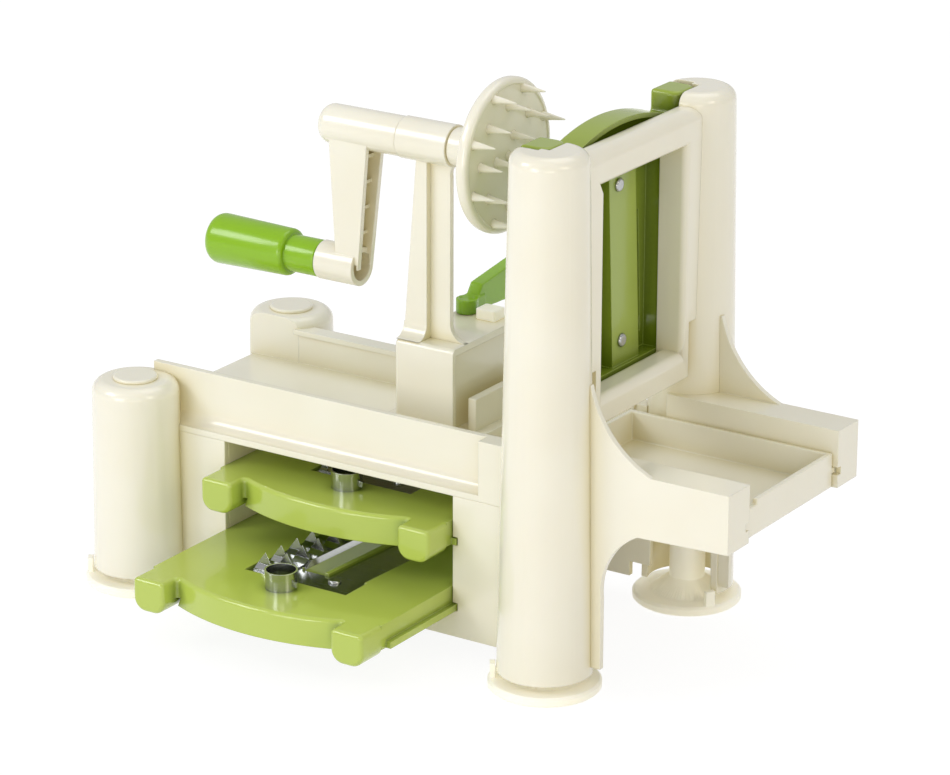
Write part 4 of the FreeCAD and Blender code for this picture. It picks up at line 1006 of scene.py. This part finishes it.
@dataclass
class BladeInsert:
    """A blade insert: moulded frame, steel blade, corer, rivets and comb."""

    prefix: str
    body: Body
    lie: Lie
    comb_columns: int
    edge_mm: float = 0.6
    blade_edge_mm: float = 0.08
    ring_edge_mm: float = 0.06
    rivet_edge_mm: float = 0.1
    front_mm: float = 14.4
    corner_from_mm: float = 8.0
    corner_height_mm: float = 8.0
    corner_round_mm: float = 2.4
    lip_round_mm: float = 1.9
    comb_w_mm: float = 15.1
    comb_t_mm: float = 0.8
    slant_degrees: float = -3.3
    pitch_share: float = 1.45
    ramp_share: float = 0.42
    knee_share: float = 0.28
    back_share: float = 0.08
    tooth_share: float = 0.98
    comb_smooth_degrees: float = 20.0

    def build(self, palette: Palette) -> None:
        """Builds the insert's pieces.

        Args:
            palette: the finishes.
        """
        report(self.build_frame(palette))
        small = SMALL_SMOOTH_DEGREES
        shells = [
            NodeShell(f"{self.prefix}_blade", self.body, Slot.STEEL, self.blade_edge_mm),
            NodeShell(f"{self.prefix}_ring", self.body, Slot.STEEL, self.ring_edge_mm, small),
            NodeShell(f"{self.prefix}_rivets", self.body, Slot.STEEL, self.rivet_edge_mm, small),
        ]
        build_shells(shells, palette)
        if self.comb_columns > 0:
            report(self.build_comb(palette))

    def build_comb(self, palette: Palette) -> bpy.types.Object:
        """Builds the comb: a strip with teeth bent up out of it in staggered columns.

        Args:
            palette: the finishes.

        Returns:
            The comb.
        """
        node = f"{self.prefix}_comb"
        comb_low, comb_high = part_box(node)
        centre = Vector((
            (comb_low.x + comb_high.x) / 2, (comb_low.y + comb_high.y) / 2, comb_low.z,
        ))
        slant = math.radians(self.slant_degrees)
        length = (comb_high.y - comb_low.y) / MM - self.comb_w_mm * math.sin(abs(slant))
        width = self.comb_w_mm / self.comb_columns
        pitch = width * self.pitch_share
        form = bmesh.new()
        bmesh.ops.create_cube(form, size=1.0)
        bmesh.ops.scale(form, vec=(self.comb_w_mm, length, self.comb_t_mm), verts=form.verts)
        bmesh.ops.translate(form, vec=(0.0, 0.0, self.comb_t_mm / 2), verts=form.verts)
        for column in range(self.comb_columns):
            u = column * width - self.comb_w_mm / 2
            v = (column % 2) * pitch / 2 - length / 2
            while v + self.ramp_share * width < length / 2:
                self.add_tooth(form, u, v, width)
                v += pitch
        bmesh.ops.recalc_face_normals(form, faces=form.faces)
        bmesh.ops.scale(form, vec=(MM, MM, MM), verts=form.verts)
        turn = Matrix.Rotation(slant, 4, "Z")
        bmesh.ops.transform(form, matrix=Matrix.Translation(centre) @ turn, verts=form.verts)
        comb = link_piece(f"{node}_teeth", form)
        smooth_by_angle(comb, self.comb_smooth_degrees)
        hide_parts(node)
        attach(comb, self.body.value)
        palette.dress(comb, Slot.STEEL)
        return comb

    def add_tooth(self, form: bmesh.types.BMesh, u: float, v: float, width: float) -> None:
        """Adds one tooth in mm: a ramp up out of the strip, then an upright point.

        Args:
            form: the comb's bmesh.
            u: the tooth's left side.
            v: where its ramp begins.
            width: its width.
        """
        base = self.comb_t_mm / 2
        knee_v = v + self.ramp_share * width
        knee_w = base + self.knee_share * width
        back_v = knee_v + self.back_share * width
        tip_w = base + self.tooth_share * width
        corners = [
            (u, v, base), (u + width, v, base), (u + width, knee_v, knee_w), (u, knee_v, knee_w),
            (u + width / 2, back_v, tip_w), (u, back_v, base), (u + width, back_v, base),
        ]
        a, b, c, d, tip, e, f = [form.verts.new(corner) for corner in corners]
        loops = (
            (a, b, c, d), (d, c, tip), (a, d, e), (d, tip, e),
            (b, f, c), (c, f, tip), (a, e, f, b), (e, tip, f),
        )
        for loop in loops:
            form.faces.new(loop)

    def build_frame(self, palette: Palette) -> bpy.types.Object:
        """Builds the moulded frame, with soft corners and lips round its ears and handle.

        Args:
            palette: the finishes.

        Returns:
            The frame's piece.
        """
        node = f"{self.prefix}_frame"
        low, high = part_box(node)

        def depth(co: Vector) -> float:
            """How far a point lies behind the handle's front, in mm."""
            return (co.y - low.y) / MM if self.lie is Lie.FLAT else (high.z - co.z) / MM

        def below_face(co: Vector) -> float:
            """How far a point lies below the insert's face, in mm."""
            return (high.z - co.z) / MM if self.lie is Lie.FLAT else (co.x - low.x) / MM

        def at_corner(a: Vector, b: Vector) -> bool:
            """Says whether an edge is a full-height corner beside an ear."""
            along_wall = abs(depth(a) - depth(b)) < ON_FACE_MM
            full_height = abs(below_face(a) - below_face(b)) > self.corner_height_mm
            return along_wall and full_height and self.corner_from_mm < depth(a) < self.front_mm

        def at_lip(a: Vector, b: Vector) -> bool:
            """Says whether an edge is on the lip of an ear or the handle."""
            shallow = max(depth(a), depth(b)) < self.front_mm
            on_face = max(below_face(a), below_face(b)) < ON_FACE_MM
            on_front = max(depth(a), depth(b)) < ON_FACE_MM
            return shallow and (on_face or on_front)

        form = merged_node(node)
        round_edges(form, self.corner_round_mm, at_corner)
        round_edges(form, self.lip_round_mm, at_lip)
        piece = NodeShell(node, self.body, Slot.LEAF, self.edge_mm).finish(form, palette)
        # The upright insert in the window gets the copy with painted shade and glow
        if self.lie is Lie.UPRIGHT:
            palette.shade(piece)
        return piece


@dataclass(frozen=True)
class Softbox:
    """A square studio lamp: where it hangs, what it aims at, its side and its power."""

    name: str
    position: tuple[float, float, float]
    aim: tuple[float, float, float]
    side_m: float
    watts: float
    tint_hex: str = "#FFFFFF"

    def hang(self) -> None:
        """Hangs the lamp in the studio."""
        lamp = bpy.data.lights.new(self.name, "AREA")
        lamp.shape = "SQUARE"
        lamp.size = self.side_m
        lamp.energy = self.watts
        lamp.color = linear(self.tint_hex)[:3]
        fixture = bpy.data.objects.new(self.name, lamp)
        direction = Vector(self.aim) - Vector(self.position)
        fixture.rotation_euler = direction.to_track_quat("-Z", "Y").to_euler()
        fixture.location = self.position
        bpy.context.scene.collection.objects.link(fixture)


@dataclass
class Studio:
    """A pale floor, soft lamps, an even sky and the camera."""

    floor_side_m: float = 8.0
    floor_white: float = 0.90
    floor_shadow_share: float = 0.16
    paper_colour: tuple[float, float, float, float] = (0.86, 0.86, 0.85, 1.0)
    clip_near_m: float = 0.05
    clip_far_m: float = 30.0
    sky_level: float = 0.56
    focal_px: float = 4113.896
    sensor_mm: float = 36.0
    right: tuple[float, float, float] = (0.8368339, 0.54744652, 0.00336439)
    up: tuple[float, float, float] = (-0.18579467, 0.27821669, 0.94237774)
    back: tuple[float, float, float] = (0.51496539, -0.78923873, 0.33453381)
    eye: tuple[float, float, float] = (0.933026, -1.407048, 0.706641)
    lamps: tuple[Softbox, ...] = (
        Softbox("key_softbox", (-1.30, -1.30, 1.35), (0.0, 0.0, 0.10), 0.75, 11.0),
        Softbox("front_softbox", (-0.35, -2.20, 0.45), (0.0, 0.0, 0.10), 0.9, 10.5),
        Softbox("side_softbox", (1.60, -0.35, 0.95), (0.0, 0.0, 0.12), 0.6, 4.0, "#FFF4DC"),
        Softbox("low_softbox", (1.25, -1.70, 0.12), (0.0, 0.0, 0.04), 0.9, 6.0, "#FFF3D8"),
        Softbox("top_softbox", (0.10, 0.55, 1.80), (0.0, 0.0, 0.10), 1.2, 5.5),
    )

    def build(self) -> None:
        """Sets up the floor, the sky, the lamps, the colour view and the camera."""
        self.lay_floor()
        self.light_sky()
        for lamp in self.lamps:
            lamp.hang()
        bpy.context.scene.view_settings.view_transform = "Standard"
        self.set_camera()

    def lay_floor(self) -> None:
        """Lays a white floor that keeps the slicer's soft shadow."""
        form = bmesh.new()
        bmesh.ops.create_grid(form, x_segments=1, y_segments=1, size=self.floor_side_m / 2)
        floor = link_piece("studio_floor", form)
        material, tree = empty_material("white_paper_floor")
        paths = add_node(tree, "ShaderNodeLightPath")
        seen = add_node(
            tree, "ShaderNodeMath", settings={"operation": "MAXIMUM"},
            links={0: paths.outputs["Is Camera Ray"], 1: paths.outputs["Is Glossy Ray"]},
        )
        seen_all = add_node(
            tree, "ShaderNodeMath", settings={"operation": "MAXIMUM"},
            links={0: seen.outputs["Value"], 1: paths.outputs["Is Transmission Ray"]},
        )
        paper = add_node(tree, "ShaderNodeBsdfDiffuse", values={"Color": self.paper_colour})
        shadow_catch = add_node(
            tree, "ShaderNodeBsdfDiffuse",
            values={"Color": (self.floor_shadow_share,) * 3 + (1.0,)},
        )
        white = add_node(
            tree, "ShaderNodeEmission",
            values={"Color": WHITE, "Strength": self.floor_white},
        )
        lifted = add_node(
            tree, "ShaderNodeAddShader",
            links={0: shadow_catch.outputs["BSDF"], 1: white.outputs["Emission"]},
        )
        floor_mix = add_node(
            tree, "ShaderNodeMixShader",
            links={0: seen_all.outputs["Value"], 1: paper.outputs["BSDF"], 2: lifted.outputs["Shader"]},
        )
        add_node(tree, "ShaderNodeOutputMaterial", links={"Surface": floor_mix.outputs["Shader"]})
        floor.data.materials.append(material)

    def light_sky(self) -> None:
        """Lights the studio evenly, and shows white to the camera."""
        world = bpy.data.worlds.new("white_studio")
        bpy.context.scene.world = world
        world.use_nodes = True
        tree = world.node_tree
        tree.nodes.clear()
        paths = add_node(tree, "ShaderNodeLightPath")
        sky = add_node(
            tree, "ShaderNodeBackground",
            values={"Color": WHITE, "Strength": self.sky_level},
        )
        white = add_node(
            tree, "ShaderNodeBackground",
            values={"Color": WHITE, "Strength": 1.0},
        )
        both = add_node(
            tree, "ShaderNodeMixShader",
            links={
                0: paths.outputs["Is Camera Ray"],
                1: sky.outputs["Background"],
                2: white.outputs["Background"],
            },
        )
        add_node(tree, "ShaderNodeOutputWorld", links={"Surface": both.outputs["Shader"]})

    def set_camera(self) -> None:
        """Places the camera at the photograph's viewpoint."""
        data = bpy.data.cameras.new("camera")
        data.sensor_fit = "HORIZONTAL"
        data.sensor_width = self.sensor_mm
        data.lens = self.focal_px / IMAGE_WIDTH_PX * self.sensor_mm
        data.clip_start = self.clip_near_m
        data.clip_end = self.clip_far_m
        camera = bpy.data.objects.new("camera", data)
        bpy.context.scene.collection.objects.link(camera)
        columns = zip(self.right, self.up, self.back, self.eye)
        camera.matrix_world = Matrix([list(row) for row in columns] + [[0.0, 0.0, 0.0, 1.0]])
        bpy.context.scene.camera = camera


def main() -> None:
    """Builds the slicer's pieces in order, then the studio."""
    logging.basicConfig(level=logging.INFO, format="%(message)s")
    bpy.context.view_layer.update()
    palette = Palette()
    Housing().build(palette)
    SuctionFeet().build(palette)
    CatchTray().build(palette)
    Carriage().build(palette)
    Crank().build(palette)
    report(HandGrip().build(palette))
    report(PushLever().build(palette))
    BladeInsert("work_insert", Body.WORK, Lie.UPRIGHT, 0).build(palette)
    BladeInsert("upper_insert", Body.UPPER, Lie.FLAT, 4).build(palette)
    BladeInsert("lower_insert", Body.LOWER, Lie.FLAT, 2).build(palette)
    Studio().build()
    LOG.info("boxes written")


if __name__ == "__main__":
    main()
